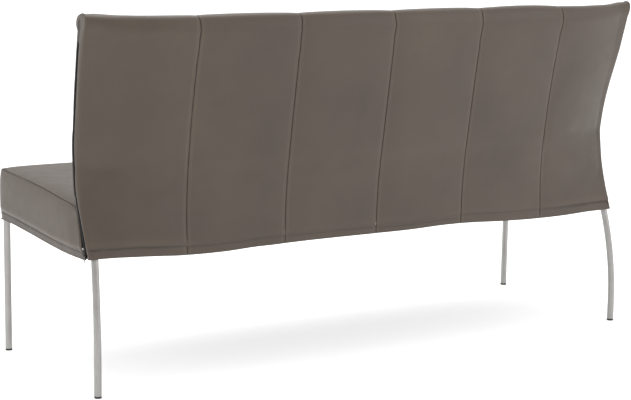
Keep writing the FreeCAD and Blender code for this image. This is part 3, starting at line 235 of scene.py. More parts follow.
# %% Leather finishes
LEATHER = hide_material("grey_brown_hide", (0.051, 0.0368, 0.0258), (0.0735, 0.054, 0.0385), 0.0016, 0.00022,
                        (0.40, 0.56))
THREAD = hide_material("waxed_thread", (0.040, 0.031, 0.026), (0.062, 0.049, 0.041), 0.0006, 0.0001, (0.5, 0.7))
print("leather finishes:", LEATHER.name, THREAD.name)

# %% [markdown]
# ## Shape of the cover
# The back is described by its profile: five points up the rear, one on the top edge and five down the front, with a
# circular arc through every three. The profile changes across the sofa: the rear bows a little, wraps forward near
# the ends and the top edge rises to small ears. These are the rules of the CAD solids, in millimetres, so a point of
# the cover lies where its solid is.

# %% Sizes of the cover, in millimetres
PITCH, OUTER_SEAM, BACK_END, SEAT_END = 275.0, 550.0, 795.0, 830.0
REAR = ((228.5, 323.0), (233.0, 429.93), (247.0, 539.75), (272.5, 699.86), (298.5, 865.0))
TOP = (257.0, 901.0)
FRONT = ((216.0, 865.0), (184.5, 750.14), (157.0, 629.92), (142.5, 554.78), (132.0, 470.0))
BOW = (0.13, 0.63, 0.97, 1.0, 0.34)
WRAP = (0.05, 0.57, 1.0, 0.98, 0.76)
ROUND = (0.4, 0.75, 1.0, 1.0, 0.35)
ZIP_FOOT, ZIP_KNEE, ZIP_HEAD = np.array(((203.0, 328.0), (122.0, 554.5), (210.5, 888.0)))
ZIP_RADIUS, SEWN_SHUT = 314.0, 826.0
BACK_HEM, SEAT_HEM, HEM_BAND = REAR[0][1], 346.0, 22.0
SIDE_FOOT, SIDE_LEAN, SIDE_HEIGHT = (809.0, 330.0), 17.0, 570.0
ENDS = ((1, "left"), (-1, "right"))

# What the photograph adds to these rules: tables of places and of how far the cover is moved there. The top edge and
# the rear hem go up, by x. The seat's side hem goes up and its side seam goes down, by y. The zip and the rear face
# of the right end go to the rear, by height.
RIM = ((-826, 7.5), (-795, 2.2), (-755, -2), (-695, -2.8), (-643, -3), (-600, -2), (-550, 0), (-466, 1.8), (-384, 1.5),
       (-300, 0.4), (-225, 0.8), (-150, 0), (0, 0), (213, -0.7), (348, -1.1), (414, -1.4), (542, -1.2), (603, -1.4),
       (661, -1.8), (716, -1.4), (768, 0.7), (795, 3), (826, 7))
REAR_HEM = ((-826, -3), (-778, -4.2), (-730, -4.5), (-641, -8), (-555, -9), (-427, -5.6), (-304, 0), (-223, 1.4),
            (-106, -1.2), (8, -1.6), (119, -0.8), (227, -1.4), (297, -3), (367, -3.4), (434, -6.4), (501, -7.2),
            (567, -6), (631, -1.5), (695, 2.4), (757, 5.5), (795, 6), (826, 4.5))
SIDE_HEM = ((-291, 0), (-250, 0.6), (-200, 1), (-141, -1), (-82, -3.1), (-25, -5.8), (31, -7.7), (86, -8.9), (139, -8),
            (190, -6))
SIDE_SEAM = ((-281, 0), (-250, 2), (-231, 3), (-105, 7), (7, 10), (68, 13), (108, 13.5), (135, 15.5), (151, 21))
ZIP_BEND = ((440, 0), (470, 1.5), (490, 3.5), (510, 7), (546, 11.5), (590, 12.5), (630, 12.5), (680, 9), (720, 6),
            (760, 4), (800, 2.5), (888, 1.5))
RIGHT_END = ((323, 0), (340, 0), (390, -2), (440, -4), (500, -3), (560, -4), (600, -4), (630, -3), (670, 0), (700, 3),
             (745, 7), (780, 8), (813, 6), (850, 3), (900, 0))


def follow(place, table):
    """Smooth line through a table of places and values, level beyond its ends."""
    at, value = np.array(table, float).T
    slope = np.gradient(value, at)
    slope[0] = slope[-1] = 0.0
    k = np.clip(np.searchsorted(at, place) - 1, 0, len(at) - 2)
    wide = at[k + 1] - at[k]
    t = np.clip((place - at[k]) / wide, 0, 1)
    return (value[k] * (2 * t ** 3 - 3 * t ** 2 + 1) + value[k + 1] * (3 * t ** 2 - 2 * t ** 3)
            + wide * (slope[k] * (t ** 3 - 2 * t ** 2 + t) + slope[k + 1] * (t ** 3 - t ** 2)))


def ease(value):
    """Smooth step from 0 to 1."""
    value = np.clip(value, 0, 1)
    return value * value * (3 - 2 * value)


def unit(vector):
    """The direction of a vector."""
    return vector / np.linalg.norm(vector)


def run_of(points):
    """Length along a row of points, up to each of them."""
    return np.concatenate(([0], np.cumsum(np.linalg.norm(np.diff(points, axis=0), axis=1))))


def arc_points(first, middle, last, shares):
    """Points at shares of the arc through three points of a plane, or of the straight line if they are in line."""
    first, middle, last = (np.asarray(p, float) for p in (first, middle, last))
    shares = np.asarray(shares, float)[:, None]
    a, b = middle - first, last - first
    cross = a[0] * b[1] - a[1] * b[0]
    if abs(cross) < 1e-4 * (b @ b):
        return first + b * shares
    centre = first + np.array((b[1] * (a @ a) - a[1] * (b @ b), a[0] * (b @ b) - b[0] * (a @ a))) / (2 * cross)
    start = math.atan2(*(first - centre)[::-1])
    sweep = (math.atan2(*(last - centre)[::-1]) - start) % (2 * math.pi)
    if cross < 0:
        sweep -= 2 * math.pi
    angle = start + sweep * shares
    return centre + np.linalg.norm(first - centre) * np.hstack((np.cos(angle), np.sin(angle)))


def make_zip_line():
    """The zip in the plane of the side: straight foot, arc, straight head, in steps of about 2 mm."""
    down, above = unit(ZIP_FOOT - ZIP_KNEE), unit(ZIP_HEAD - ZIP_KNEE)
    half = math.acos(down @ above) / 2
    reach = ZIP_RADIUS / math.tan(half)
    centre = ZIP_KNEE + unit(down + above) * ZIP_RADIUS / math.sin(half)
    middle = centre + unit(ZIP_KNEE - centre) * ZIP_RADIUS
    start, end = ZIP_KNEE + down * reach, ZIP_KNEE + above * reach
    parts = [ZIP_FOOT + (start - ZIP_FOOT) * np.linspace(0, 1, 72)[:, None],
             arc_points(start, middle, end, np.linspace(0, 1, 130))[1:],
             end + (ZIP_HEAD - end) * np.linspace(0, 1, 100)[1:, None]]
    return np.vstack(parts)


ZIP_LINE = make_zip_line()
PLAIN_ZIP = {z: float(np.interp(z, ZIP_LINE[:, 1], ZIP_LINE[:, 0])) for _, z in FRONT}
ZIP_LINE[:, 0] += follow(ZIP_LINE[:, 1], ZIP_BEND)
ZIP_SLOPE = np.gradient(ZIP_LINE, axis=0)
ZIP_SLOPE /= np.linalg.norm(ZIP_SLOPE, axis=1)[:, None]
TO_REAR = np.column_stack((ZIP_SLOPE[:, 1], -ZIP_SLOPE[:, 0]))


def zip_y(z, offset):
    """Depth, at a height, of the zip line moved to the rear by an offset, straight on beyond its ends."""
    line = ZIP_LINE + TO_REAR * offset
    line = np.vstack((line[:1] - ZIP_SLOPE[:1] * 30, line))
    over = max(0.0, z - line[-1, 1]) * ZIP_SLOPE[-1, 0] / ZIP_SLOPE[-1, 1]
    return float(np.interp(z, line[:, 1], line[:, 0])) + over


def gap(z):
    """Half of the slit that shows the zip: wider at the foot, sewn shut over the top end."""
    return 5.0 + float(ease((430.0 - z) / 60.0)) - 4.4 * float(ease((z - SEWN_SHUT) / 24.0))


def front_edge(z):
    """Place (y, z) of the front edge of the zip's slit at a height."""
    return zip_y(z, -gap(z)), z


print("zip line %.0f mm long" % run_of(ZIP_LINE)[-1])

# %% Profiles of the back and of the seat
GROOVE, BOW_DEPTH, WRAP_DEPTH, EAR = 2.5, 19.0, 78.0, 31.0


def groove(x, end):
    """How deep the seams draw the cover in."""
    out = abs(x)
    if out > OUTER_SEAM:
        return GROOVE * (max(0.0, end - out) / (end - OUTER_SEAM)) ** 2
    return GROOVE * (2 * (out / PITCH % 1.0) - 1) ** 2


def side_x(z):
    """Outer face of the back's side at a height."""
    return SIDE_FOOT[0] + SIDE_LEAN * (z - SIDE_FOOT[1]) / SIDE_HEIGHT


def seat_x(y):
    """Outer face of the seat's side at a depth."""
    return 830.0 - 19.0 * (y + 291.0) / 481.0


def wrapped(x, level):
    """How far the rear face has turned forward."""
    out, bow = abs(x), BOW_DEPTH * BOW[level]
    drop = bow * (out / OUTER_SEAM) ** 2
    if out > OUTER_SEAM:
        at_end = WRAP_DEPTH * WRAP[level] - bow * (BACK_END / OUTER_SEAM) ** 2
        drop += at_end * ((out - OUTER_SEAM) / (BACK_END - OUTER_SEAM)) ** 2
    return drop


def back_profile(x, share=0.0, side=1):
    """Eleven points (y, z) of the back at a place across it. The share rounds the corner at its end."""
    draw = groove(x, BACK_END)

    def front_y(y, z):
        return y + (PLAIN_ZIP[z] - 14.0 - y) * (x / BACK_END) ** 2

    points = [(y - wrapped(x, k) - draw - 14.0 * share * ROUND[k], z) for k, (y, z) in enumerate(REAR)]
    shift = (wrapped(x, 4) + FRONT[0][0] - front_y(*FRONT[0])) / 2
    rise = follow(side * (x + EAR * share), RIM)
    points.append((TOP[0] - shift, TOP[1] + rise - draw - 2.0 * share))
    for y, z in FRONT:
        here = front_y(y, z) + draw
        points.append((here + (PLAIN_ZIP[z] - 6.4 - here) * share, z))
    return points


def seat_profile(x):
    """Seven points (y, z) of the seat: front hem, bulge, lip, nose, edge, middle, rear."""
    crown = 1 - (x / SEAT_END) ** 2
    forward, rise, draw = 7.3 * crown, 7.0 * crown, groove(x, SEAT_END)
    slant = draw * math.sqrt(0.5)
    return [(-281.0, SEAT_HEM), (-291.0 - forward + draw, 415.0), (-288.0 - forward + draw, 452.0),
            (-277.0 - 0.3 * forward + slant, 474.0 + 0.3 * rise - slant), (-250.0, 483.0 + 0.45 * rise - draw),
            (-60.0, 474.0 + rise - draw), (130.0, 461.0 + 0.7 * rise - draw)]


def steps(length, fine, coarse, ends=1):
    """Shares of a length: fine steps at one end or at both, coarse ones between."""
    near = [d for d in fine if d < length / (2.2 if ends == 2 else 1.2)]
    start = near[-1]
    stop = length - start if ends == 2 else length
    count = max(2, round((stop - start) / coarse))
    middle = list(np.linspace(start, stop, count + 1)[1:-1])
    tail = [length - d for d in near[::-1]] if ends == 2 else [length]
    return np.array(near + middle + tail) / length


HEM_STEPS = (0, 2.5, 5, 8, 11, 14, 16.5, 18.5, 20, 21.2, 22.4, 23.8, 25.5, 27.5, 30, 34, 40, 48)
BACK_ARCS = (steps(217, HEM_STEPS, 9), *(np.linspace(0, 1, count) for count in (37, 21, 27, 19)))
SEAT_ARCS = (steps(106, HEM_STEPS, 8), np.linspace(0, 1, 13), steps(382, (0,), 9))
BACK_LIPS = (((-9.0, 20.0), (-7.5, 8.0), (-5.0, 2.0), (-2.2, 0.2)), ((2.5, -2.6), (7.0, -4.0), (18.0, -4.5)))
SEAT_LIPS = (((9.0, 20.0), (7.5, 8.0), (5.0, 2.0), (2.2, 0.2)), ((8.0, -0.6), (18.0, -1.5)))
LIP, TUCK = len(BACK_LIPS[0]), len(BACK_LIPS[1])


def profile_rows(points, arcs, lips):
    """The whole row of points of a profile: turned-in hem, arcs, and the tucked-in end."""
    rows = [np.array(points[0]) + lips[0]]
    for number, shares in enumerate(arcs):
        run = arc_points(*points[2 * number:2 * number + 3], shares)
        rows.append(run if number == 0 else run[1:])
    rows.append(np.array(points[-1]) + lips[1])
    return np.vstack(rows)


TOP_START = LIP + len(BACK_ARCS[0]) + len(BACK_ARCS[1]) - 2
EDGE_SHARE = (0.0, 0.083, 0.167, 0.25, 0.333, 0.42, 0.5, 0.61, 0.75, 0.89, 1.0)
EDGE_PUSH = (0.0, 1.5, 4.8, 9.0, 7.1, 2.5, -2.0, -2.6, -1.6, -0.3, 0.0)


def back_rows(x, share=0.0, side=1):
    """Rows of the back: the profile, with the rear of its top edge squarer and its hem where the photograph has it."""
    rows = profile_rows(back_profile(x, share, side), BACK_ARCS, BACK_LIPS)
    top = slice(TOP_START, TOP_START + len(BACK_ARCS[2]))
    arm = rows[top] - (rows[top][0] + rows[top][-1]) / 2 + (0.0, 5.6)
    push = follow(BACK_ARCS[2], tuple(zip(EDGE_SHARE, EDGE_PUSH)))
    rows[top] += arm / np.linalg.norm(arm, axis=1)[:, None] * push[:, None]
    front = np.clip((np.arange(len(rows)) - TOP_START) / (len(BACK_ARCS[2]) - 1.0), 0, 1)
    rows[:, 0] += follow(rows[:, 1], ZIP_BEND) * (x / BACK_END) ** 2 * front
    if side < 0:
        rows[:, 0] += follow(rows[:, 1], RIGHT_END) * np.clip((x - 600.0) / 195.0, 0, 1) ** 2 * (1 - front)
    weight = ease(1 - (rows[:, 1] - BACK_HEM) / 80.0)
    weight[:LIP] = 1.0
    rows[:, 1] += follow(side * (x + EAR * share), REAR_HEM) * weight
    return rows


def wander(seam, rows):
    """How far a seam strays to the side on its last stretch below the top edge."""
    height, depth = rows[:, 1], rows[:, 0]
    near_top = ease((height - 740.0) / 90.0) * ease((depth - 225.0) / 40.0)
    return near_top * 1.5 * noise_1d(height + depth * 0.4, 41.0 + seam, 70.0)


def noise_1d(where, seed, size):
    """Smooth waves between -1 and 1 along a line, the same on each run."""
    phase = np.array([math.sin(seed * 12.9898 + k * 78.233) * 43.7 for k in range(5)])
    waves = [np.sin(where / size * (0.7 + 0.45 * k) * 2 * math.pi + phase[k]) / (1 + 0.35 * k) for k in range(5)]
    return np.sum(waves, axis=0) / 2.6


print("rows of the back:", len(profile_rows(back_profile(0), BACK_ARCS, BACK_LIPS)),
      "of the seat:", len(profile_rows(seat_profile(0), SEAT_ARCS, SEAT_LIPS)))

# %% [markdown]
# ## From rows and columns to a sewn strip
# Each strip is a grid: its rows run along the profile, its columns from seam to seam, closer together beside the
# seams. The grid is first a plain surface; for the back's strips a short cloth simulation then lets it swell between
# its sewn edges, as leather does over foam. The seam roll, the small puckers and the fold above the hem are pressed
# in afterwards, because a simulation would smooth them away.

# %% Grid helpers
def facing_of(grid, axis, sign=1.0, columns=slice(None), rows=slice(None)):
    """Directions along an axis that say, over some columns and rows, which side of a grid is outside."""
    facing = np.zeros_like(grid)
    facing[columns, rows, axis] = sign
    return facing


def normals_of(grid, outward):
    """Unit normals of a grid of points, turned to the side that the outward directions say."""
    across, along = np.gradient(grid, axis=0), np.gradient(grid, axis=1)
    normal = np.cross(across, along)
    length = np.linalg.norm(normal, axis=2, keepdims=True)
    normal = normal / np.where(length < 1e-9, 1, length)
    if np.sum(normal * outward) < 0:
        normal = -normal
    return normal


def grid_object(name, grid, outward, material, wall=1.4, attributes=None):
    """Mesh object of a grid in millimetres, with faces that look outwards and a wall behind them."""
    columns, rows = grid.shape[:2]
    index = np.arange(columns * rows).reshape(columns, rows)
    quads = np.stack((index[:-1, :-1], index[1:, :-1], index[1:, 1:], index[:-1, 1:]), -1).reshape(-1, 4)
    across, along = grid[1:, :-1] - grid[:-1, :-1], grid[:-1, 1:] - grid[:-1, :-1]
    if np.sum(np.cross(across, along) * outward[:-1, :-1]) < 0:
        quads = quads[:, ::-1]
    mesh = bpy.data.meshes.new(name)
    mesh.from_pydata((grid.reshape(-1, 3) * MM).tolist(), [], quads.tolist())
    for label, values in (attributes or {}).items():
        mesh.attributes.new(label, "FLOAT", "POINT").data.foreach_set("value", values.astype(np.float32).ravel())
    mesh.shade_smooth()
    mesh.materials.append(material)
    made = new_object(name, mesh)
    made["rows"] = rows
    if wall:
        solid = made.modifiers.new("wall", "SOLIDIFY")
        solid.thickness, solid.offset = wall * MM, -1.0
    return made


# The simulation's frames, its pressure, the slack of the leather, and how far it may swell, in millimetres.
FRAMES, PRESSURE, SLACK, MOST = 20, 0.5, 0.0006, 2.4


def swell(grid, normal, held):
    """Cloth simulation of a grid held at some of its points. Gives how far each point moved outwards."""
    cloth = grid_object("simulated_strip", grid, normal, LEATHER, wall=0)
    group = cloth.vertex_groups.new(name="sewn")
    group.add([int(k) for k in np.flatnonzero(held.ravel())], 1.0, "REPLACE")
    modifier = cloth.modifiers.new("swell", "CLOTH")
    settings = modifier.settings
    settings.quality, settings.mass = 4, 0.35
    settings.tension_stiffness = settings.compression_stiffness = 25
    settings.shear_stiffness, settings.bending_stiffness = 15, 2.0
    settings.vertex_group_mass = "sewn"
    settings.pin_stiffness = 1.0
    settings.use_pressure, settings.uniform_pressure_force = True, PRESSURE
    settings.shrink_min = -SLACK
    settings.effector_weights.gravity = 0
    modifier.collision_settings.use_collision = False
    modifier.point_cache.frame_start, modifier.point_cache.frame_end = 1, FRAMES
    scene = bpy.context.scene
    for frame_number in range(1, FRAMES + 1):
        scene.frame_set(frame_number)
    result = cloth.evaluated_get(bpy.context.evaluated_depsgraph_get()).to_mesh()
    points = np.zeros(len(result.vertices) * 3, np.float32)
    result.vertices.foreach_get("co", points)
    moved = points.reshape(grid.shape).astype(float) / MM - grid
    scene.frame_set(1)
    bpy.data.objects.remove(cloth)
    out = np.sum(moved * normal, axis=2)
    out = np.where(held, 0.0, MOST * np.tanh(out / MOST))
    return normal * out[:, :, None]


print("grid helpers ready")

# %% Strip maker
ROLL = 2.2


def seam_roll(distance):
    """Depth of the rolled edge of a strip at a distance from its seam."""
    inside = np.clip(1 - distance / ROLL, 0, 1)
    return 1.5 * (1 - np.sqrt(1 - inside ** 2)) + 0.7 * np.exp(-distance / 7.0)


def hem_fold(height, wave, inner, soft):
    """Depth of the crease above the hem band and of the soft roll over it. It is shallow where a leg is behind."""
    above = height - HEM_BAND - wave
    crease = 1.7 * inner / soft * np.exp(-(above / (3.2 * soft)) ** 2)
    return crease - 2.0 * soft * ease(above / (7.0 * soft)) * np.exp(-np.clip(above - 7.0, 0, None) / 14.0)


def finish_strip(name, grid, facing, to_seam, height, seed, swollen=True, fold=1.0, extra=0.0, calm=1.0, more_shade=0.0,
                 line=1.0, soft=1.0):
    """Swell a grid, press its seams and hem in and make it an object. Distances and heights are in millimetres.

    The fold says how strong the crease over the hem is and soft how wide it is. The extra is a depth of its own. Calm
    scales the puckers, the argument after it adds painted shade, and line scales the painted shade in the seams.
    """
    start = np.clip((np.arange(grid.shape[1]) - LIP + 1) / 3.0, 0, 1)[None, :]
    normal = normals_of(grid, facing)
    if swollen:
        held = to_seam < 2.0
        held[:1], held[-1:], held[:, :LIP + 1], held[:, -TUCK - 1:] = True, True, True, True
        grid = grid + swell(grid, normal, held)
    along = np.broadcast_to(run_of(grid[grid.shape[0] // 2]), grid.shape[:2])
    pucker = 0.5 * calm * noise_1d(along, seed, 34.0) * np.exp(-to_seam / 16.0) * (1 - np.exp(-to_seam / 3.0))
    wave = 1.5 * noise_1d(grid[..., 0] + grid[..., 1], 3.0, 210.0)
    inner = 1 - 0.85 * ease((np.abs(grid[..., 0]) - 750.0) / 30.0) * (grid[..., 1] > 100.0)
    press = (seam_roll(to_seam) - pucker + fold * hem_fold(height, wave, inner, soft) + extra) * start
    # Painted shade: the colour is darkened in the seams, in the crease over the hem and where more is asked for. The
    # rub is paler wear beside the seams and over the fold.
    crease = 0.8 / soft ** 2 * fold * np.exp(-((height - HEM_BAND - wave) / 2.3) ** 2)
    painted_shade = 0.5 * line * np.clip(1 - to_seam / ROLL, 0, 1) + crease + more_shade
    rub = np.exp(-((to_seam - 6.5) / 3.0) ** 2) + 0.8 * fold * np.exp(-((height - 33.0) / 6.0) ** 2)
    made = grid_object(name, grid - normal * press[:, :, None], normal, LEATHER,
                       attributes={"painted_shade": np.clip(painted_shade, 0, 1), "rub": np.clip(rub, 0, 1)})
    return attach(made, "sofa")


SEAM_STEPS = (0, 1.0, 2.0, 3.2, 5.0, 8.0, 12.0, 18.0, 25.0)
INNER_COLUMNS = steps(PITCH, SEAM_STEPS, 9, ends=2)
BACK_OUTER = steps(BACK_END - OUTER_SEAM, SEAM_STEPS, 9)
SEAT_OUTER = steps(SEAT_END - OUTER_SEAM, SEAM_STEPS, 9, ends=2)
print("columns:", len(INNER_COLUMNS), len(BACK_OUTER), len(SEAT_OUTER))

# %% [markdown]
# ## The back
# The four middle strips run from seam to seam. The two outer ones go round the corner, cross the narrow side and
# end at the zip, all in one hide, because the photograph shows no seam there.

# %% Middle strips of the back
def heights_of(grid):
    """Height of each point over the edge of the hem."""
    return grid[..., 2] - grid[:, LIP:LIP + 1, 2]


def fold_of(grid):
    """Strength of the fold over the rear hem: clear towards both ends, faint in the middle."""
    rear = np.where(np.arange(grid.shape[1]) < 60, 1.0, 0.0)[None, :]
    return rear * (0.25 + 0.75 * ease((np.abs(grid[:, LIP:LIP + 1, 0]) - 500.0) / 150.0))


REAR_ROWS = slice(0, 70)
covers = []
for number in range(4):
    first = -OUTER_SEAM + number * PITCH
    xs = first + PITCH * INNER_COLUMNS
    grid = np.array([[(x, y, z) for y, z in back_rows(x)] for x in xs])
    left, right = wander(number, grid[0, :, 1:]), wander(number + 1, grid[-1, :, 1:])
    grid[..., 0] += left[None] * (1 - INNER_COLUMNS[:, None]) ** 4 + right[None] * INNER_COLUMNS[:, None] ** 4
    distance = np.broadcast_to(np.minimum(xs - first, first + PITCH - xs)[:, None], grid.shape[:2])
    cover = finish_strip("back_cover_%d" % (5 - number), grid, facing_of(grid, 1, rows=REAR_ROWS), distance,
                         heights_of(grid), 5 - number, fold=fold_of(grid))
    covers.append(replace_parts(cover, "back_panel_%d" % (5 - number)))
print("middle strips:", [cover.name for cover in covers])

# %% Outer strips of the back, round the corner to the zip
CORNER = np.linspace(0, math.pi / 2, 10)[1:]
CORNER_RADIUS = 12.0
SIDE_SHARES = np.linspace(0, 1, 10)[1:]
# No seam is near the side. The front corner stays a little ahead of the zip, or the side would turn inside out there.
FAR, LEAD = 400.0, 1.2


def along_line(points, shares):
    """Points at shares of the length of a row of points."""
    points = np.asarray(points, float)
    length = run_of(points)
    return np.column_stack([np.interp(np.asarray(shares) * length[-1], length, points[:, k]) for k in range(2)])


def zip_border(end_rows):
    """Where each row of the back's end meets the zip: up its rear edge, round its head and down its front edge."""
    top_end = TOP_START + len(BACK_ARCS[2])
    border = end_rows.copy()
    for k, (_, z) in enumerate(end_rows):
        if k <= TOP_START:
            border[k, 0] = zip_y(z, gap(z))
        elif k >= top_end:
            border[k, 0] = zip_y(z, -gap(z) - 1.0 * (z < SEWN_SHUT))
    cap = [ZIP_HEAD + 0.6 * (TO_REAR[-1] * math.cos(a) + ZIP_SLOPE[-1] * math.sin(a))
           for a in np.linspace(0, math.pi, 9)]
    path = np.vstack((border[TOP_START], cap, front_edge(FRONT[0][1])))
    border[TOP_START + 1:top_end] = along_line(path, np.arange(1, len(BACK_ARCS[2])) / (len(BACK_ARCS[2]) - 1))
    border[-TUCK:] = border[-TUCK - 1] + (end_rows[-TUCK:] - end_rows[-TUCK - 1]) * (0.3, 1.0)
    return border


for (side, end), number in zip(ENDS, (1, 6)):
    columns, distance = [], []
    for share in BACK_OUTER:
        x = OUTER_SEAM + (BACK_END - OUTER_SEAM) * share
        rows = back_rows(x, 0.0, side)
        stray = side * wander(4 if side > 0 else 0, rows) * (1 - share) ** 4
        columns.append(np.column_stack((x + stray, rows)))
        distance.append(x - OUTER_SEAM)
    for angle in CORNER:
        rows = back_rows(BACK_END, 1 - math.cos(angle), side)
        sharp = 1 - 0.6 * ease((rows[:, 1] - 740.0) / 130.0)
        xs = side_x(rows[:, 1]) - CORNER_RADIUS * sharp * (1 - math.sin(angle))
        columns.append(np.column_stack((xs, rows)))
        distance.append(BACK_END - OUTER_SEAM + CORNER_RADIUS * angle)
    border = zip_border(rows)
    in_front = np.arange(len(rows)) > TOP_START + len(BACK_ARCS[2])
    short = np.minimum(border[:, 0] - LEAD - rows[:, 0], 0.0) * in_front
    for angle, column in zip(CORNER, columns[-len(CORNER):]):
        column[:, 1] += short * (1 - math.cos(angle))
    rows[:, 0] += short
    print("front corner moved forward by up to %.2f mm" % -short.min())
    for share in SIDE_SHARES:
        flat = rows + (border - rows) * share
        columns.append(np.column_stack((side_x(flat[:, 1]), flat)))
        distance.append(FAR)
    grid = np.array(columns)
    angles = np.concatenate((np.zeros(len(BACK_OUTER)), CORNER, np.full(len(SIDE_SHARES), math.pi / 2)))
    for rows_in, start, sign, lips in ((slice(0, LIP), LIP, -1, BACK_LIPS[0]),
                                       (slice(-TUCK, None), -TUCK - 1, 1, BACK_LIPS[1])):
        depths = [abs(depth) for depth, _ in lips]
        rise = (rows[rows_in] - rows[start])[:, 1]
        grid[:, rows_in] = grid[:, start, None]
        grid[:, rows_in, 0] -= np.sin(angles)[:, None] * depths
        grid[:, rows_in, 1] += sign * np.cos(angles)[:, None] * depths
        grid[:, rows_in, 2] += rise
    grid[..., 0] *= side
    facing = facing_of(grid, 1, columns=slice(len(BACK_OUTER)), rows=REAR_ROWS)
    distance = np.broadcast_to(np.array(distance)[:, None], grid.shape[:2])
    to_zip = np.linalg.norm(grid[..., 1:] - border[None], axis=2)
    column = np.arange(len(grid))[:, None]
    near_zip = ROLL * np.exp(-to_zip / ROLL) * (column > len(BACK_OUTER) + 4)
    beside = np.clip((len(grid) - 8 - column) / 8.0, 0.0, 1.0)
    cover = finish_strip("back_cover_%d" % number, grid, facing, distance, heights_of(grid), number,
                         fold=fold_of(grid) * beside, extra=near_zip)
    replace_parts(cover, "back_panel_%d" % number, "back_side_" + end)
    covers.append(cover)
print("outer strips:", covers[-2].name, covers[-1].name)

# %% [markdown]
# ## The seat
# The seat's six strips carry on the channels of the back. They start at the front hem, roll over the front edge and
# end under the back. A border closes each side: it is sewn to the outer strip along the top and reaches the zip.

# %% Strips of the seat
def drop_of_seam(points):
    """How far the side seam of the seat is lowered, at points (y, z), away from its front."""
    return follow(points[:, 0], SIDE_SEAM) * ease((points[:, 1] - 400.0) / 50.0)


def round_corner(grid, side, from_corner):
    """Rounds the seat's upright front corner. Gives how far each point is below the nose, from 0 to 1."""
    low = ease((480.0 - grid[..., 2]) / 12.0)
    grid[..., 0] -= side * 4.0 * np.exp(-from_corner / 8.0) * low
    grid[..., 1] += 1.5 * np.exp(-from_corner / 6.0) * low
    return low


for number in range(6):
    side = 1 if number >= 3 else -1
    outer = number in (0, 5)
    shares = SEAT_OUTER if outer else INNER_COLUMNS
    first = -OUTER_SEAM + (number - 1) * PITCH
    columns = []
    for share in shares:
        x = OUTER_SEAM + (SEAT_END - OUTER_SEAM) * share if outer else first + PITCH * share
        rows = profile_rows(seat_profile(x), SEAT_ARCS, SEAT_LIPS)
        xs = np.full(len(rows), x)
        if outer:
            xs = side * (OUTER_SEAM + (seat_x(rows[:, 0]) - OUTER_SEAM) * share)
            from_edge = (seat_x(rows[:, 0]) - OUTER_SEAM) * (1 - share)
            rows[:, 1] -= drop_of_seam(rows) * np.exp(-(from_edge / 26.0) ** 1.3)
        columns.append(np.column_stack((xs, rows)))
    grid = np.array(columns)
    facing = facing_of(grid, 2, rows=slice(-40, None))
    width = SEAT_END - OUTER_SEAM if outer else PITCH
    distance = np.broadcast_to((width * np.minimum(shares, 1 - shares))[:, None], grid.shape[:2])
    outer_gap = distance if not outer else np.broadcast_to((width * (1 - shares))[:, None], grid.shape[:2])
    fold = np.where(np.arange(grid.shape[1]) < 26, 0.6, 0.0)[None, :] * (1 - np.exp(-outer_gap / 12.0))
    crown = -1.6 * (1 - np.exp(-distance / 22.0))
    if outer:
        distance = distance + 100.0 * round_corner(grid, side, outer_gap) * np.exp(-outer_gap / 60.0)
    # The seams next to the borders get more painted shade.
    cover = finish_strip("seat_cover_%d" % (6 - number), grid, facing, distance, heights_of(grid),
                         11 + number, swollen=False, fold=fold, calm=0.35, extra=crown,
                         line=1.0 + 1.0 * np.exp(-outer_gap / 10.0) if outer else 1.0)
    covers.append(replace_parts(cover, "seat_panel_%d" % (6 - number)))
print("seat strips:", [cover.name for cover in covers[-6:]])

# %% Borders of the seat
BORDER_UP = steps(128, HEM_STEPS, 8)
BORDER_BACK = steps(478, (0, 1, 2, 3.2, 5, 8, 12, 18), 9, ends=2)


def seat_border(side):
    """Patch between the hem, the front corner, the side seam and the zip, in the plane of the side."""
    profile = seat_profile(SEAT_END)
    shares = np.linspace(0, 1, 41)
    nose_arc = arc_points(*profile[2:5], shares)
    front = np.vstack((arc_points(*profile[0:3], shares), nose_arc[:21]))
    seam = np.vstack((nose_arc[20:], arc_points(*profile[4:7], shares)[1:], front_edge(profile[6][1])))
    seam[:, 1] -= drop_of_seam(seam)
    foot, end = front_edge(329.0), seam[-1]
    zip_side = np.array([front_edge(z) for z in np.linspace(foot[1], end[1], 40)])
    zip_side[-1] = end
    low, high = along_line([profile[0], foot], BORDER_BACK), along_line(seam, BORDER_BACK)
    low[:, 1] += follow(low[:, 0], SIDE_HEM)
    zip_side[:, 1] += (low[-1, 1] - foot[1]) * np.linspace(1, 0, 40) ** 2
    left, right_edge = along_line(front, BORDER_UP), along_line(zip_side, BORDER_UP)
    u, v = BORDER_BACK[:, None, None], BORDER_UP[None, :, None]
    patch = (1 - v) * low[:, None] + v * high[:, None] + (1 - u) * left[None] + u * right_edge[None]
    patch -= (1 - u) * (1 - v) * low[0] + u * (1 - v) * low[-1] + (1 - u) * v * high[0] + u * v * high[-1]
    bulge = 4.0 * (1 - (patch[..., 0] / 291.0) ** 2) * np.sin(math.pi * np.clip(BORDER_UP[None, :], 0, 1)) ** 0.8
    bulge = bulge * (1 - ease((BORDER_BACK[:, None] - 0.86) / 0.14))
    xs = side * (seat_x(patch[..., 0]) + bulge)
    return np.dstack((xs, patch))


def with_lip(patch, values, on_lip):
    """Values of a patch with one value for the rows of its turned-in hem before them."""
    return np.concatenate((np.full((len(patch), LIP), on_lip), values), axis=1)


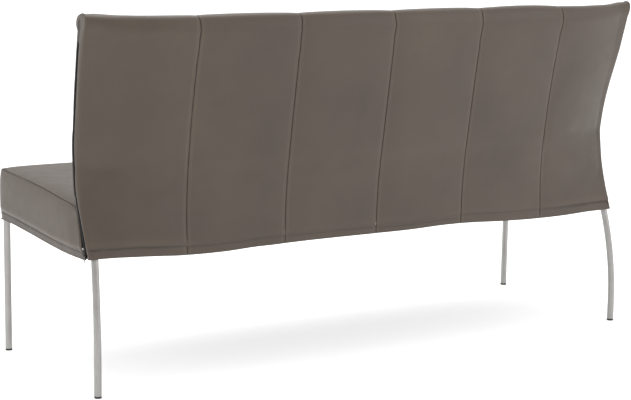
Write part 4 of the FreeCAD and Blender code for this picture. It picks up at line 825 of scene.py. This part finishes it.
for side, name in ENDS:
    patch = seat_border(side)
    lip = patch[:, :1] + np.array([(-depth * side, 0, rise) for depth, rise in SEAT_LIPS[0]])[None]
    grid = np.concatenate((lip, patch), axis=1)
    over_hem = with_lip(patch, patch[..., 2] - patch[:, :1, 2], 0.0)
    to_top, to_front, to_zip = (with_lip(patch, np.linalg.norm(patch - edge, axis=2), 100.0)
                                for edge in (patch[:, -1:], patch[:1], patch[-1:]))
    corner_gap = 1 - np.exp(-to_front / 12.0)
    seam_gap = np.minimum(to_top, to_front + 100.0 * round_corner(grid, side, to_front))
    band = ease(1 - (over_hem - 17.0) / 7.0)
    extra = (2.0 * np.exp(-to_zip / ROLL) - 1.2 * (1 - np.exp(-np.minimum(to_top, to_front) / 22.0))
             + band * corner_gap * (1.2 + 1.6 * (1 - over_hem / HEM_BAND)))
    # Painted shade: the hem band under the overhang and the seams of the border are darkened.
    cover = finish_strip("seat_border_" + name, grid, facing_of(grid, 0, side), seam_gap, over_hem, 23 + side,
                         swollen=False, fold=1.1 * corner_gap, extra=extra, calm=0.3, more_shade=0.35 * band, line=1.8,
                         soft=1.7)
    covers.append(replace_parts(cover, "seat_side_" + name))
print("borders:", covers[-2].name, covers[-1].name)

# %% [markdown]
# ## Foam under the leather
# The back has a front and a rear foam and a block at each end. The seat has one block. Cut foam has soft corners, so
# each solid is copied, remeshed in voxels of 8 mm, smoothed and drawn in a little, and it stays clear of the seams.
# Foam is open cells: a rough relief with small pits that are darkened with painted shade, in a pale yellow that browns
# unevenly.

# %% Foam
def foam_material():
    """Open-celled upholstery foam."""
    material, tree, shader = new_material("cream_foam", Specular_IOR_Level=0.2, Sheen_Weight=0.1)
    place = place_of(tree)
    cells = add_node(tree, "ShaderNodeTexVoronoi", {"Vector": place}, {"Scale": 700.0}).outputs["Distance"]
    lumps = noise_of(tree, place, 18.0, 5.0)
    browned_and_pit_shade = mixed_colour(tree, lumps, (0.62, 0.52, 0.30), (0.80, 0.74, 0.52))
    # Painted shade: the pits are darkened towards brown.
    browned_and_pit_shade = mixed_colour(tree, spread(tree, cells, 0.0, 0.5, 0.35, 0.0), browned_and_pit_shade, (0.45, 0.36, 0.20))
    dress(tree, shader, browned_and_pit_shade, spread(tree, lumps, 0.3, 0.7, 0.75, 0.95), cells, 0.0012)
    return material


def plain_mesh(made):
    """Turns an object's modifiers into its own mesh."""
    result = made.evaluated_get(bpy.context.evaluated_depsgraph_get())
    mesh = bpy.data.meshes.new_from_object(result)
    made.modifiers.clear()
    made.data = mesh
    return made


def points_and_normals(mesh):
    """Places, in metres, and normals of a mesh's points."""
    both = np.zeros((2, len(mesh.vertices) * 3), np.float32)
    mesh.vertices.foreach_get("co", both[0])
    mesh.vertices.foreach_get("normal", both[1])
    return both.reshape(2, -1, 3)


def welded(node):
    """A CAD node's mesh with the points of its faces joined."""
    work = bmesh.new()
    work.from_mesh(nodes[node].data)
    bmesh.ops.remove_doubles(work, verts=work.verts, dist=0.00005)
    return work


def object_of(name, work, material):
    """Object of a built mesh, smooth and in one material."""
    mesh = bpy.data.meshes.new(name)
    work.to_mesh(mesh)
    work.free()
    mesh.materials.append(material)
    mesh.shade_smooth()
    return new_object(name, mesh)


FOAM = foam_material()
CELL, INSET = 0.008, 0.0042


def draw_in(place, seat):
    """Moves a foam's points, in metres, to where the photograph has the cover: seam down, zip back, top edge down."""
    out, y, z = np.abs(place[:, 0]) / MM, place[:, 1] / MM, place[:, 2] / MM
    if seat:
        place[:, 2] -= ease((out - 765.0) / 45.0) * ease((z - 400.0) / 50.0) * follow(y, SIDE_SEAM) * MM
        return
    levels = [level for _, level in REAR]
    at_end = np.clip((out - OUTER_SEAM) / (BACK_END - OUTER_SEAM), 0, 1) ** 2
    rear_face = np.interp(z, levels, [depth for depth, _ in REAR]) - WRAP_DEPTH * np.interp(z, levels, WRAP) * at_end
    in_front = np.clip((rear_face - 16.0 - y) / 35.0, 0, 1)
    place[:, 1] += follow(z, ZIP_BEND) * (out / BACK_END) ** 2 * in_front * MM
    place[:, 2] -= ease((z - 835.0) / 50.0) * (5.0 + 5.0 * ease((out - 500.0) / 80.0)) * MM


def soft_block(name, node):
    """A foam block with soft corners inside the solid of the node that it stands for."""
    block = object_of(name, welded(node), FOAM)
    remesh = block.modifiers.new("cells", "REMESH")
    remesh.mode, remesh.voxel_size = "VOXEL", CELL
    smooth = block.modifiers.new("cut_edges", "SMOOTH")
    smooth.factor, smooth.iterations = 0.5, 3
    mesh = plain_mesh(block).data
    place, normal = points_and_normals(mesh)
    draw_in(place, node == "seat_foam")
    mesh.vertices.foreach_set("co", (place - normal * INSET).ravel())
    mesh.materials.clear()
    mesh.materials.append(FOAM)
    mesh.shade_smooth()
    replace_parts(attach(block, "sofa"), node)
    return block


foams = [soft_block("foam_of_" + name, node) for name, node in (
    ("seat", "seat_foam"), ("back_front", "back_front_foam"), ("back_rear", "back_rear_foam"),
    ("left_end", "back_end_foam_left"), ("right_end", "back_end_foam_right"))]
print("foam blocks:", [(f.name, len(f.data.vertices)) for f in foams])

# %% [markdown]
# ## Webbing, felt and dust cover
# Elastic straps carry the seat and the back, a felt keeps the seat foam off the straps, and a thin black cloth
# closes the seat from below. A strap is a flat woven band, so it is a grid through the corners of its solid; the
# seat's straps sag a little along their length. The felt lies on the straps in faint waves, and the dust cover sags a
# little between the rails.

# %% Cloth finishes
def woven_material(name, dark, light, across, along, thread, depth):
    """Plain weave of two sets of threads, in lines along two axes of the object."""
    material, tree, shader = new_material(name, Sheen_Weight=0.25, Specular_IOR_Level=0.25)
    place = place_of(tree)
    waves = [add_node(tree, "ShaderNodeTexWave", {"Vector": place},
                      {"Scale": 0.5 / thread, "Distortion": 0.4, "Detail": 1.0},
                      wave_type="BANDS", bands_direction=axis).outputs["Fac"] for axis in (across, along)]
    weave = maths(tree, "MULTIPLY", *waves)
    tone = mixed_colour(tree, weave, dark, light)
    fluff = spread(tree, noise_of(tree, place, 35.0, 5.0), 0.45, 0.8, 0.0, 0.5)
    tone = mixed_colour(tree, fluff, tone, tuple(0.6 * c for c in dark))
    dress(tree, shader, tone, spread(tree, weave, 0.0, 1.0, 0.92, 0.7), weave, depth)
    return material


def matted_material(name, dark, light, fibre, depth):
    """Felt or non-woven cloth: tangled fibres with uneven tone."""
    material, tree, shader = new_material(name, Sheen_Weight=0.3, Specular_IOR_Level=0.2)
    place = place_of(tree)
    fibres = noise_of(tree, place, 1 / fibre, 6.0, Roughness=0.7, Distortion=1.5)
    both = maths(tree, "MULTIPLY_ADD", noise_of(tree, place, 9.0, 3.0), 0.6, fibres)
    tone = mixed_colour(tree, spread(tree, both, 0.5, 1.1, 0.0, 1.0), dark, light)
    dress(tree, shader, tone, spread(tree, fibres, 0.3, 0.7, 0.8, 0.98), fibres, depth)
    return material


SEAT_WEB, BACK_WEB = (
    woven_material("elastic_webbing_" + part, (0.012, 0.012, 0.013), (0.05, 0.05, 0.055), *axes, 0.0022, 0.0005)
    for part, axes in (("seat", "XY"), ("back", "ZX")))
FELT = matted_material("grey_felt", (0.10, 0.10, 0.10), (0.24, 0.235, 0.23), 0.004, 0.0008)
DUST_CLOTH = matted_material("black_dust_cloth", (0.008, 0.008, 0.009), (0.030, 0.030, 0.032), 0.0015, 0.0002)
print("cloth finishes:", SEAT_WEB.name, BACK_WEB.name, FELT.name, DUST_CLOTH.name)

# %% Straps
def islands(node):
    """Points of a node's separate solids, in millimetres."""
    work = welded(node)
    found, seen = [], set()
    for vert in work.verts:
        if vert in seen:
            continue
        group, queue = [], [vert]
        seen.add(vert)
        while queue:
            here = queue.pop()
            group.append(here.co / MM)
            for edge in here.link_edges:
                other = edge.other_vert(here)
                if other not in seen:
                    seen.add(other)
                    queue.append(other)
        found.append(np.array(group))
    work.free()
    return found


def strap_grid(points, length_axis, width_axis, level_axis, sag):
    """Middle surface of a flat strap through the corner points of its solid."""
    limits, corners = (points.min(0), points.max(0)), {}
    for end, edge in ((0, 0), (0, 1), (1, 0), (1, 1)):
        near = (np.abs(points[:, length_axis] - limits[end][length_axis])
                + np.abs(points[:, width_axis] - limits[edge][width_axis]))
        corners[end, edge] = points[np.argsort(near)[:2]].mean(0)
    u, v = np.linspace(0, 1, 61)[:, None, None], np.linspace(0, 1, 13)[None, :, None]
    grid = ((1 - u) * (1 - v) * corners[0, 0] + u * (1 - v) * corners[1, 0]
            + (1 - u) * v * corners[0, 1] + u * v * corners[1, 1])
    grid[..., level_axis] -= sag * np.sin(math.pi * np.clip((u[..., 0] * 1.12 - 0.06), 0, 1))
    return grid


for part, axes, sag, lift, facing, finish in (("seat", (1, 0, 2), 1.2, (0, 0, 0.7), (0.0, 0.0, 1.0), SEAT_WEB),
                                             ("back", (0, 2, 1), 0.0, (0, -0.8, 0), (0.0, -1.0, 0.0), BACK_WEB)):
    work = bmesh.new()
    for points in islands(part + "_webbing"):
        grid = strap_grid(points, *axes, sag) + lift
        strap = grid_object("one_strap", grid, np.broadcast_to(facing, grid.shape), finish, wall=1.6)
        work.from_mesh(plain_mesh(strap).data)
        bpy.data.objects.remove(strap)
    straps = object_of(part + "_straps", work, finish)
    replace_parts(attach(straps, "sofa"), part + "_webbing")
    print(straps.name, len(straps.data.polygons), "faces")

# %% Felt and dust cover
def node_box(node):
    """Lowest and highest corner of a CAD node in millimetres."""
    low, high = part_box(node)
    return np.array(low) / MM, np.array(high) / MM


def level_sheet(name, low, high, step, height, material, wall, facing):
    """A sheet over a rectangle, with its height given by a function of x and y."""
    x, y = np.meshgrid(*(np.linspace(low[k], high[k], round((high[k] - low[k]) / step) + 1) for k in (0, 1)),
                       indexing="ij")
    grid = np.dstack((x, y, height(x, y)))
    return grid_object(name, grid, np.broadcast_to((0.0, 0.0, facing), grid.shape), material, wall=wall)


def felt_level(x, y):
    """The felt lies on the straps in faint waves."""
    return high[2] - 0.35 + 0.3 * noise_1d(x, 5, 260) * noise_1d(y, 6, 190)


low, high = node_box("seat_felt")
felt = level_sheet("felt_pad", low, high, 12.0, felt_level, FELT, 2.2, 1.0)
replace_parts(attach(felt, "sofa"), "seat_felt")

low, high = node_box("dust_cover")
plates = [node_box("%s_leg_plate_%s" % (row, end)) for row in ("front", "rear") for end in ("left", "right")]


def under_plate(face):
    """Whether a face of the dust cover is inside the notch round a leg plate."""
    x, y, _ = face.calc_center_median() / MM
    return any(a[0] - 5 < x < b[0] + 5 and a[1] - 5 < y < b[1] + 5 for a, b in plates)


def cover_level(x, y):
    """The dust cover is stapled to the rails and sags between them."""
    u, v = (x - low[0]) / (high[0] - low[0]), (y - low[1]) / (high[1] - low[1])
    bays = np.abs(np.sin(3 * math.pi * u)) ** 0.6 * np.sin(math.pi * np.clip(v * 1.1 - 0.05, 0, 1))
    return low[2] + 0.1 - 3.4 * bays - 0.5 * noise_1d(x, 7, 120) * bays


dust_cover = level_sheet("dust_sheet", low + (0.5, 0.5, 0), high - (0.5, 0.5, 0), 10.0, cover_level, DUST_CLOTH,
                         0.7, -1.0)
work = bmesh.new()
work.from_mesh(dust_cover.data)
bmesh.ops.delete(work, geom=[face for face in work.faces if under_plate(face)], context="FACES")
work.to_mesh(dust_cover.data)
work.free()
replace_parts(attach(dust_cover, "sofa"), "dust_cover")
print("felt and dust cover:", len(felt.data.polygons), len(dust_cover.data.polygons), "faces")

# %% [markdown]
# ## Zips
# A zip closes the cover at each end: it runs up from the rear bottom corner, past the seat, and up the front of the
# back's side. Its chain is one small shape, a bar of black nylon across the chain, repeated every two millimetres, so
# Geometry Nodes put it on the line. The tree has the line, the step, the bar's sizes and the outward direction as
# inputs. The result is made a plain mesh at once, because the export drops instances.

# %% Zip finishes
def zip_material(name, dark, light, scale, rough, depth, metallic):
    """Black nylon or blackened metal with fine scuffs."""
    material, tree, shader = new_material(name, Metallic=metallic, Specular_IOR_Level=0.3)
    place = place_of(tree)
    scuffs = noise_of(tree, place, scale, 5.0)
    edges = add_node(tree, "ShaderNodeNewGeometry").outputs["Pointiness"]
    worn = maths(tree, "MULTIPLY", spread(tree, edges, 0.5, 0.62, 0.0, 1.0), scuffs)
    dress(tree, shader, mixed_colour(tree, worn, dark, light), spread(tree, scuffs, 0.3, 0.7, *rough), scuffs, depth)
    return material


NYLON, SLIDER_METAL, PULL_METAL = (zip_material(*values) for values in (
    ("black_zip_nylon", (0.003, 0.003, 0.003), (0.014, 0.014, 0.014), 900.0, (0.5, 0.7), 0.00005, 0.0),
    ("blackened_slider_metal", (0.010, 0.010, 0.010), (0.07, 0.068, 0.065), 600.0, (0.45, 0.62), 0.00004, 1.0),
    ("grey_pull_metal", (0.16, 0.16, 0.16), (0.45, 0.44, 0.42), 500.0, (0.3, 0.5), 0.00004, 1.0)))
ZIP_TAPE = woven_material("black_zip_tape", (0.004, 0.004, 0.004), (0.014, 0.014, 0.015), "Y", "Z", 0.0007, 0.0001)
print("zip finishes:", NYLON.name, SLIDER_METAL.name, PULL_METAL.name, ZIP_TAPE.name)

# %% Rows of one small shape along a line
def row_tree(name, turned):
    """Geometry Nodes: rods of a length and a thickness along a path, lying along it or, if turned, across it."""
    tree, given, result = new_tree(
        name, "GeometryNodeTree",
        [("Path", SHAPE, None), ("Step", NUMBER, 0.004), ("Rod length", NUMBER, 0.003),
         ("Rod thickness", NUMBER, 0.001), ("Outward", "NodeSocketVector", (1.0, 0.0, 0.0)),
         ("Finish", MATERIAL, None)],
        [("Row", SHAPE, None)])
    curve = add_node(tree, "GeometryNodeMeshToCurve", {"Mesh": given["Path"]}).outputs[0]
    spots = add_node(tree, "GeometryNodeCurveToPoints", {"Curve": curve, "Length": given["Step"]}, mode="LENGTH")
    facing = add_node(tree, "FunctionNodeAlignRotationToVector", {"Vector": given["Outward"]}, axis="Z")
    run = add_node(tree, "FunctionNodeAlignRotationToVector",
                   {"Rotation": facing.outputs[0], "Vector": spots.outputs["Tangent"]},
                   axis="Y" if turned else "X", pivot_axis="Z")
    half = maths(tree, "MULTIPLY", given["Rod length"], 0.5)
    ends = {"Start": ("X", maths(tree, "MULTIPLY", half, -1.0)), "End": ("X", half),
            "Middle": ("Z", maths(tree, "MULTIPLY", given["Rod thickness"], 0.45))}
    ends = {end: add_node(tree, "ShaderNodeCombineXYZ", dict([at])).outputs[0] for end, at in ends.items()}
    rod = add_node(tree, "GeometryNodeCurveQuadraticBezier", ends, {"Resolution": 4}).outputs[0]
    radius = maths(tree, "MULTIPLY", given["Rod thickness"], 0.5)
    ring = add_node(tree, "GeometryNodeCurvePrimitiveCircle", {"Radius": radius}, {"Resolution": 6}).outputs[0]
    shape = add_node(tree, "GeometryNodeCurveToMesh", {"Curve": rod, "Profile Curve": ring},
                     {"Fill Caps": True}).outputs[0]
    placed = add_node(tree, "GeometryNodeInstanceOnPoints",
                      {"Points": spots.outputs["Points"], "Instance": shape, "Rotation": run.outputs[0]}).outputs[0]
    real = add_node(tree, "GeometryNodeRealizeInstances", {"Geometry": placed}).outputs[0]
    painted = add_node(tree, "GeometryNodeSetMaterial", {"Geometry": real, "Material": given["Finish"]}).outputs[0]
    tree.links.new(painted, result["Row"])
    return tree


STITCH_TREE, COIL_TREE = row_tree("row_of_stitches", False), row_tree("zip_coil", True)


def lay_row(name, tree, lines, finish, slot, **values):
    """The tree's shape along lines of points in millimetres, as a plain mesh on the sofa."""
    mesh = bpy.data.meshes.new(name)
    points, edges = [], []
    for line in lines:
        edges += [(len(points) + k, len(points) + k + 1) for k in range(len(line) - 1)]
        points += (np.asarray(line) * MM).tolist()
    mesh.from_pydata(points, edges, [])
    row = new_object(name, mesh)
    modifier = row.modifiers.new("row", "NODES")
    modifier.node_group = tree
    values["finish"] = finish
    for item in tree.interface.items_tree:
        key = item.name.lower().replace(" ", "_")
        if item.in_out == "INPUT" and key in values:
            modifier[item.identifier] = values[key]
    plain_mesh(row)
    row.data.shade_smooth()
    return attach(row, "sofa")


print("trees:", STITCH_TREE.name, len(STITCH_TREE.nodes), "nodes;", COIL_TREE.name, len(COIL_TREE.nodes), "nodes")

# %% Chain and tape
def on_side(points, side, out):
    """Points (y, z) of the side plane, in millimetres, moved out of it."""
    return np.column_stack((side * (side_x(points[:, 1]) + out), points))


def outward(side):
    """Direction out of the sloping side plane."""
    tilt = math.atan(SIDE_LEAN / SIDE_HEIGHT)
    return np.array((side * math.cos(tilt), 0.0, -math.sin(tilt)))


# Lines along the tape: how far to the rear of the zip and out of the side, and how much further back above its foot.
TAPE = ((-13.0, -2.4, 7.6), (-6.0, -1.7, 1.3), (-3.2, -1.55, 0.0), (-2.4, -0.9, 0.0), (-0.5, -0.75, 0.0),
        (0.5, -0.75, 0.0), (2.4, -0.9, 0.0), (3.2, -1.55, 0.0), (7.5, -1.9, 0.0))
above_foot = ease((ZIP_LINE[:, 1:] - 430.0) / 40.0)
for side, name in ENDS:
    teeth = on_side(ZIP_LINE[ZIP_LINE[:, 1] < 838.0], side, -0.45)
    chain = lay_row("zip_coil_" + name, COIL_TREE, [teeth], NYLON, "zip_teeth", step=0.0019, rod_length=0.0054,
                    rod_thickness=0.0016, outward=tuple(outward(side)))
    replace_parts(chain, "zip_chain_" + name)
    grid = np.array([on_side(ZIP_LINE + TO_REAR * (offset + back * above_foot), side, out)
                     for offset, out, back in TAPE])
    tape = grid_object("zip_ribbon_" + name, grid, facing_of(grid, 0, side), ZIP_TAPE, wall=0.5)
    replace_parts(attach(tape, "sofa"), "zip_tape_" + name)
    print(chain.name, len(chain.data.polygons), "faces;", tape.name, len(tape.data.polygons))

# %% [markdown]
# ## Sliders and pulls
# The slider is a small blackened casting: a body with rounded shoulders, two rails that grip the coil, and two
# lugs that hold the pull's pin. The pull is a flat tab with an oval boss near its end. Both move: the slider rides up
# the straight foot of the zip, and the pull swings on its pin. Each is built in its own frame, across, along and out,
# then placed.

# %% Slider and pull
def plate_mesh(work, outline, low, high, matrix, hole=None):
    """A flat plate between two levels from an outline (across, along), with a hole of the same number of points."""
    def ring(points, level):
        return [work.verts.new(matrix @ Vector((level, p[0], p[1]))) for p in points]

    count = len(outline)
    lower, upper = ring(outline, low), ring(outline, high)
    for k in range(count):
        n = (k + 1) % count
        work.faces.new((lower[k], lower[n], upper[n], upper[k]))
    if hole is None:
        work.faces.new(upper)
        work.faces.new(lower[::-1])
        return
    inner_low, inner_high = ring(hole, low), ring(hole, high)
    for k in range(count):
        n = (k + 1) % count
        work.faces.new((upper[k], upper[n], inner_high[n], inner_high[k]))
        work.faces.new((lower[n], lower[k], inner_low[k], inner_low[n]))
        work.faces.new((inner_low[n], inner_low[k], inner_high[k], inner_high[n]))


def oval(width, length, centre=(0.0, 0.0), power=2.0, count=28):
    """Points of a rounded outline."""
    angles = np.linspace(0, 2 * math.pi, count, endpoint=False)
    c, s = np.cos(angles), np.sin(angles)
    return [(centre[0] + width / 2 * math.copysign(abs(x) ** (2 / power), x),
             centre[1] + length / 2 * math.copysign(abs(y) ** (2 / power), y)) for x, y in zip(c, s)]


def finished(name, work, finish, body, node, bevel):
    """Bevelled object of a built mesh that stands for a CAD node."""
    bmesh.ops.recalc_face_normals(work, faces=work.faces)
    made = object_of(name, work, finish)
    edge = made.modifiers.new("soft_edges", "BEVEL")
    edge.width, edge.segments, edge.limit_method = bevel * MM, 2, "ANGLE"
    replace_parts(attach(made, body), node)


PIN = np.array((812.6578, 200.3735, 335.2378))
RUN = np.array((0.02807, -0.336731, 0.941182))
PIN_HEIGHT, TAB = 3.5, 1.5
TO_ACROSS = Matrix(((0, 1, 0, 0), (1, 0, 0, 0), (0, 0, 1, 0), (0, 0, 0, 1)))
HALF_TAB = ((0.75, 0.5), (1, -1.2), (0.62, -4.5), (0.62, -8.0), (1, -11.0), (1, -16.6), (0.7, -17.3))
for side, name in ENDS:
    mirror = np.array((side, 1, 1))
    pin, run, out = PIN * mirror, RUN * mirror, outward(side)
    across = np.cross(run, out) * -side
    axes = Matrix([list(out), list(across), list(run)]).transposed().to_4x4()
    on_zip = Matrix.Translation(Vector((pin - out * PIN_HEIGHT) * MM)) @ axes @ Matrix.Scale(MM, 4)
    on_pin = Matrix.Translation(Vector(pin * MM)) @ Matrix.Scale(MM, 4)
    work = bmesh.new()
    shoulders = [(x * (1 - 0.16 * max(0.0, -y / 5.5)), y) for x, y in oval(8.6, 11.0, power=4.0)]
    plate_mesh(work, shoulders, 1.0, 2.2, on_zip)
    eye, rim = ([(side * x, y) for x, y in oval(*size)] for size in ((1.5, 1.5), (2.9, 3.2)))
    for edge in (-1, 1):
        plate_mesh(work, oval(0.9, 10.4, (edge * 3.8, 0.0), power=6.0), -0.8, 1.1, on_zip)
        plate_mesh(work, rim, edge * 1.85, edge * 2.75, on_pin @ TO_ACROSS, hole=eye)
        plate_mesh(work, oval(0.95, 3.0, (edge * 2.3, 0.0), power=5.0), 2.0, 3.0, on_zip)
    finished("slider_body_" + name, work, SLIDER_METAL, "slider_" + name, "zip_slider_" + name, 0.18)
    work = bmesh.new()
    sides = [(TAB * s, z) for s, z in ((-0.75, 0.5), (-0.55, 0.6), (0.55, 0.6), *HALF_TAB,
                                       *((-s, z) for s, z in HALF_TAB[:0:-1]))]
    plate_mesh(work, sides, -0.55, 0.55, on_pin)
    for level in (0.6, -0.6):
        plate_mesh(work, oval(2.0, 3.4, (0.0, -13.8)), min(0, level), max(0, level), on_pin)
    plate_mesh(work, oval(1.2, 1.2, count=12), -2.8, 2.8, on_pin @ TO_ACROSS)
    finished("pull_tab_" + name, work, PULL_METAL, "pull_" + name, "zip_pull_" + name, 0.12)
print("sliders and pulls placed at", PIN.tolist())

# %% [markdown]
# ## Stitches
# Thread shows in two places: along the hem and beside the zips. It is a waxed thread in the leather's own colour,
# so it reads as a fine texture and not as a line. Each row follows a row of the finished leather's own points, a
# little above it.

# %% Rows of stitches
def followed(name, pick, lift=0.25):
    """Points of a finished strip's grid, lifted off it: pick gives their numbers from the grid of numbers."""
    strip = bpy.data.objects[name]
    place, normal = points_and_normals(strip.data)
    points = place / MM + normal * lift
    return points[pick(np.arange(len(points)).reshape(-1, strip["rows"]))]


STITCH_HEIGHT = 16.0


def hem_row(name, hem):
    """Number of the grid row that is nearest to the stitches over the edge of a hem, in one of its columns."""
    heights = followed(name, lambda index: index[5], 0.0)[LIP:40, 2]
    return LIP + int(np.argmin(np.abs(heights - hem - STITCH_HEIGHT)))


STITCH = {"step": 0.0042, "rod_length": 0.0031, "rod_thickness": 0.0007}
BORDERS = ["seat_border_" + name for _, name in ENDS]
hem_lines = []
for number in range(1, 7):
    for strip, hem in (("back_cover_%d" % number, BACK_HEM), ("seat_cover_%d" % number, SEAT_HEM)):
        row = hem_row(strip, hem)
        hem_lines.append(followed(strip, lambda index: index[:, row]))
hem_lines += [followed(border, lambda index: index[:, LIP + 6]) for border in BORDERS]
hem_thread = lay_row("hem_stitches", STITCH_TREE, hem_lines, THREAD, "leather", outward=(0.0, 1.0, 0.0), **STITCH)
zip_lines = [followed("back_cover_%d" % number, lambda index: index[-3, 6:-4]) for number in (1, 6)]
zip_lines += [followed(border, lambda index: index[-5, 6:-4]) for border in BORDERS]
zip_thread = lay_row("zip_stitches", STITCH_TREE, zip_lines, THREAD, "leather", outward=(1.0, 0.0, 0.0), **STITCH)
print("stitches:", len(hem_thread.data.polygons), len(zip_thread.data.polygons), "faces")

# %% [markdown]
# ## Steel, plastic and fasteners
# The legs are round steel tube, brushed along their length to a satin finish, and they come straight from the CAD
# part. Fine streaks run along the tube: noise that is squeezed across and stretched along it. The hidden frame is
# black paint on steel, the glides are hard black plastic and the screws are zinc.

# %% Hard finishes
def metal_material(name, dark, light, rough, streak, depth, metallic, stretch):
    """Metal with fine streaks, drawn out along Z if the stretch is below 1, and a few softer smudges."""
    material, tree, shader = new_material(name, Metallic=metallic)
    place = place_of(tree)
    drawn = add_node(tree, "ShaderNodeMapping", {"Vector": place}, {"Scale": (1.0, 1.0, stretch)}).outputs[0]
    streaks, smudge = noise_of(tree, drawn, streak, 4.0), noise_of(tree, place, 22.0, 4.0)
    both = maths(tree, "MULTIPLY_ADD", smudge, 0.5, streaks)
    tone = mixed_colour(tree, spread(tree, both, 0.5, 1.0, 0.0, 1.0), dark, light)
    dress(tree, shader, tone, spread(tree, both, 0.5, 1.0, *rough), streaks, depth)
    return material


SATIN, PAINT, ZINC, GLIDE = (metal_material(*values) for values in (
    ("satin_steel_tube", (0.275, 0.27, 0.262), (0.37, 0.362, 0.35), (0.30, 0.44), 900.0, 0.00004, 1.0, 0.03),
    ("black_painted_steel", (0.012, 0.012, 0.013), (0.022, 0.022, 0.023), (0.38, 0.55), 500.0, 0.00008, 0.0, 1.0),
    ("zinc_plated_screws", (0.38, 0.38, 0.40), (0.58, 0.57, 0.55), (0.28, 0.5), 1200.0, 0.00003, 1.0, 1.0),
    ("black_glide_plastic", (0.010, 0.010, 0.010), (0.020, 0.020, 0.020), (0.45, 0.62), 700.0, 0.00008, 0.0, 1.0)))
# The plates come before the legs, since a leg plate's name starts like a leg's.
FINISHES = ((("front_leg_plate", "rear_leg_plate", "seat_rail", "seat_cross", "back_upright", "back_tube"), PAINT),
            (("front_leg", "rear_leg"), SATIN), (("front_glide", "rear_glide"), GLIDE),
            (("leg_screws", "back_bolts", "back_nuts"), ZINC), (("zip_stops",), SLIDER_METAL))
done = 0
for name, node in nodes.items():
    for starts, finish in FINISHES:
        if name.startswith(starts):
            node.data.materials.clear()
            node.data.materials.append(finish)
            done += 1
            break
print(done, "CAD nodes finished")

# %% [markdown]
# ## Floor and light
# The floor is plain and pale, wide enough for every view. A white world and three large soft lamps stand for the
# studio: the largest hangs over the seat, since the seat is the brightest part of the photograph.

# %% Floor and studio light
def make_floor():
    """A wide pale floor with a faint mottle."""
    mesh = bpy.data.meshes.new("studio_floor")
    reach = 30.0
    corners = [(x * reach, y * reach, 0) for x, y in ((-1, -1), (1, -1), (1, 1), (-1, 1))]
    mesh.from_pydata(corners, [], [(0, 1, 2, 3)])
    floor = new_object("studio_floor", mesh)
    material, tree, shader = new_material("pale_floor", Roughness=0.9, Specular_IOR_Level=0.1, Emission_Strength=0.4,
                                          Emission_Color=(1.0, 1.0, 1.0, 1.0))
    place = place_of(tree)
    mottle = mixed_colour(tree, noise_of(tree, place, 1.5, 2.0), (0.86, 0.86, 0.86), (0.90, 0.90, 0.90))
    tree.links.new(mottle, shader.inputs["Base Color"])
    mesh.materials.append(material)


def soft_lamp(name, place, target, width, height, watts):
    """A large area lamp that looks at a point."""
    data = bpy.data.lights.new(name, "AREA")
    data.shape, data.size, data.size_y, data.energy = "RECTANGLE", width, height, watts
    lamp = new_object(name, data)
    lamp.location = place
    lamp.rotation_mode = "QUATERNION"
    lamp.rotation_quaternion = (Vector(target) - Vector(place)).to_track_quat("-Z", "Y")


make_floor()
world = bpy.data.worlds.new("studio")
world.use_nodes = True
world.node_tree.nodes["Background"].inputs["Color"].default_value = (1.0, 1.0, 1.0, 1.0)
world.node_tree.nodes["Background"].inputs["Strength"].default_value = 1.0
bpy.context.scene.world = world
soft_lamp("overhead_softbox", (0.3, -0.6, 3.2), (0, -0.1, 0.4), 3.2, 2.2, 60)
soft_lamp("left_softbox", (3.6, -0.4, 1.9), (0.4, 0, 0.5), 2.2, 2.2, 6)
soft_lamp("rear_softbox", (-2.8, 3.4, 2.0), (-0.4, 0.2, 0.5), 2.4, 2.0, 32)
bpy.context.scene.view_settings.view_transform = "Standard"
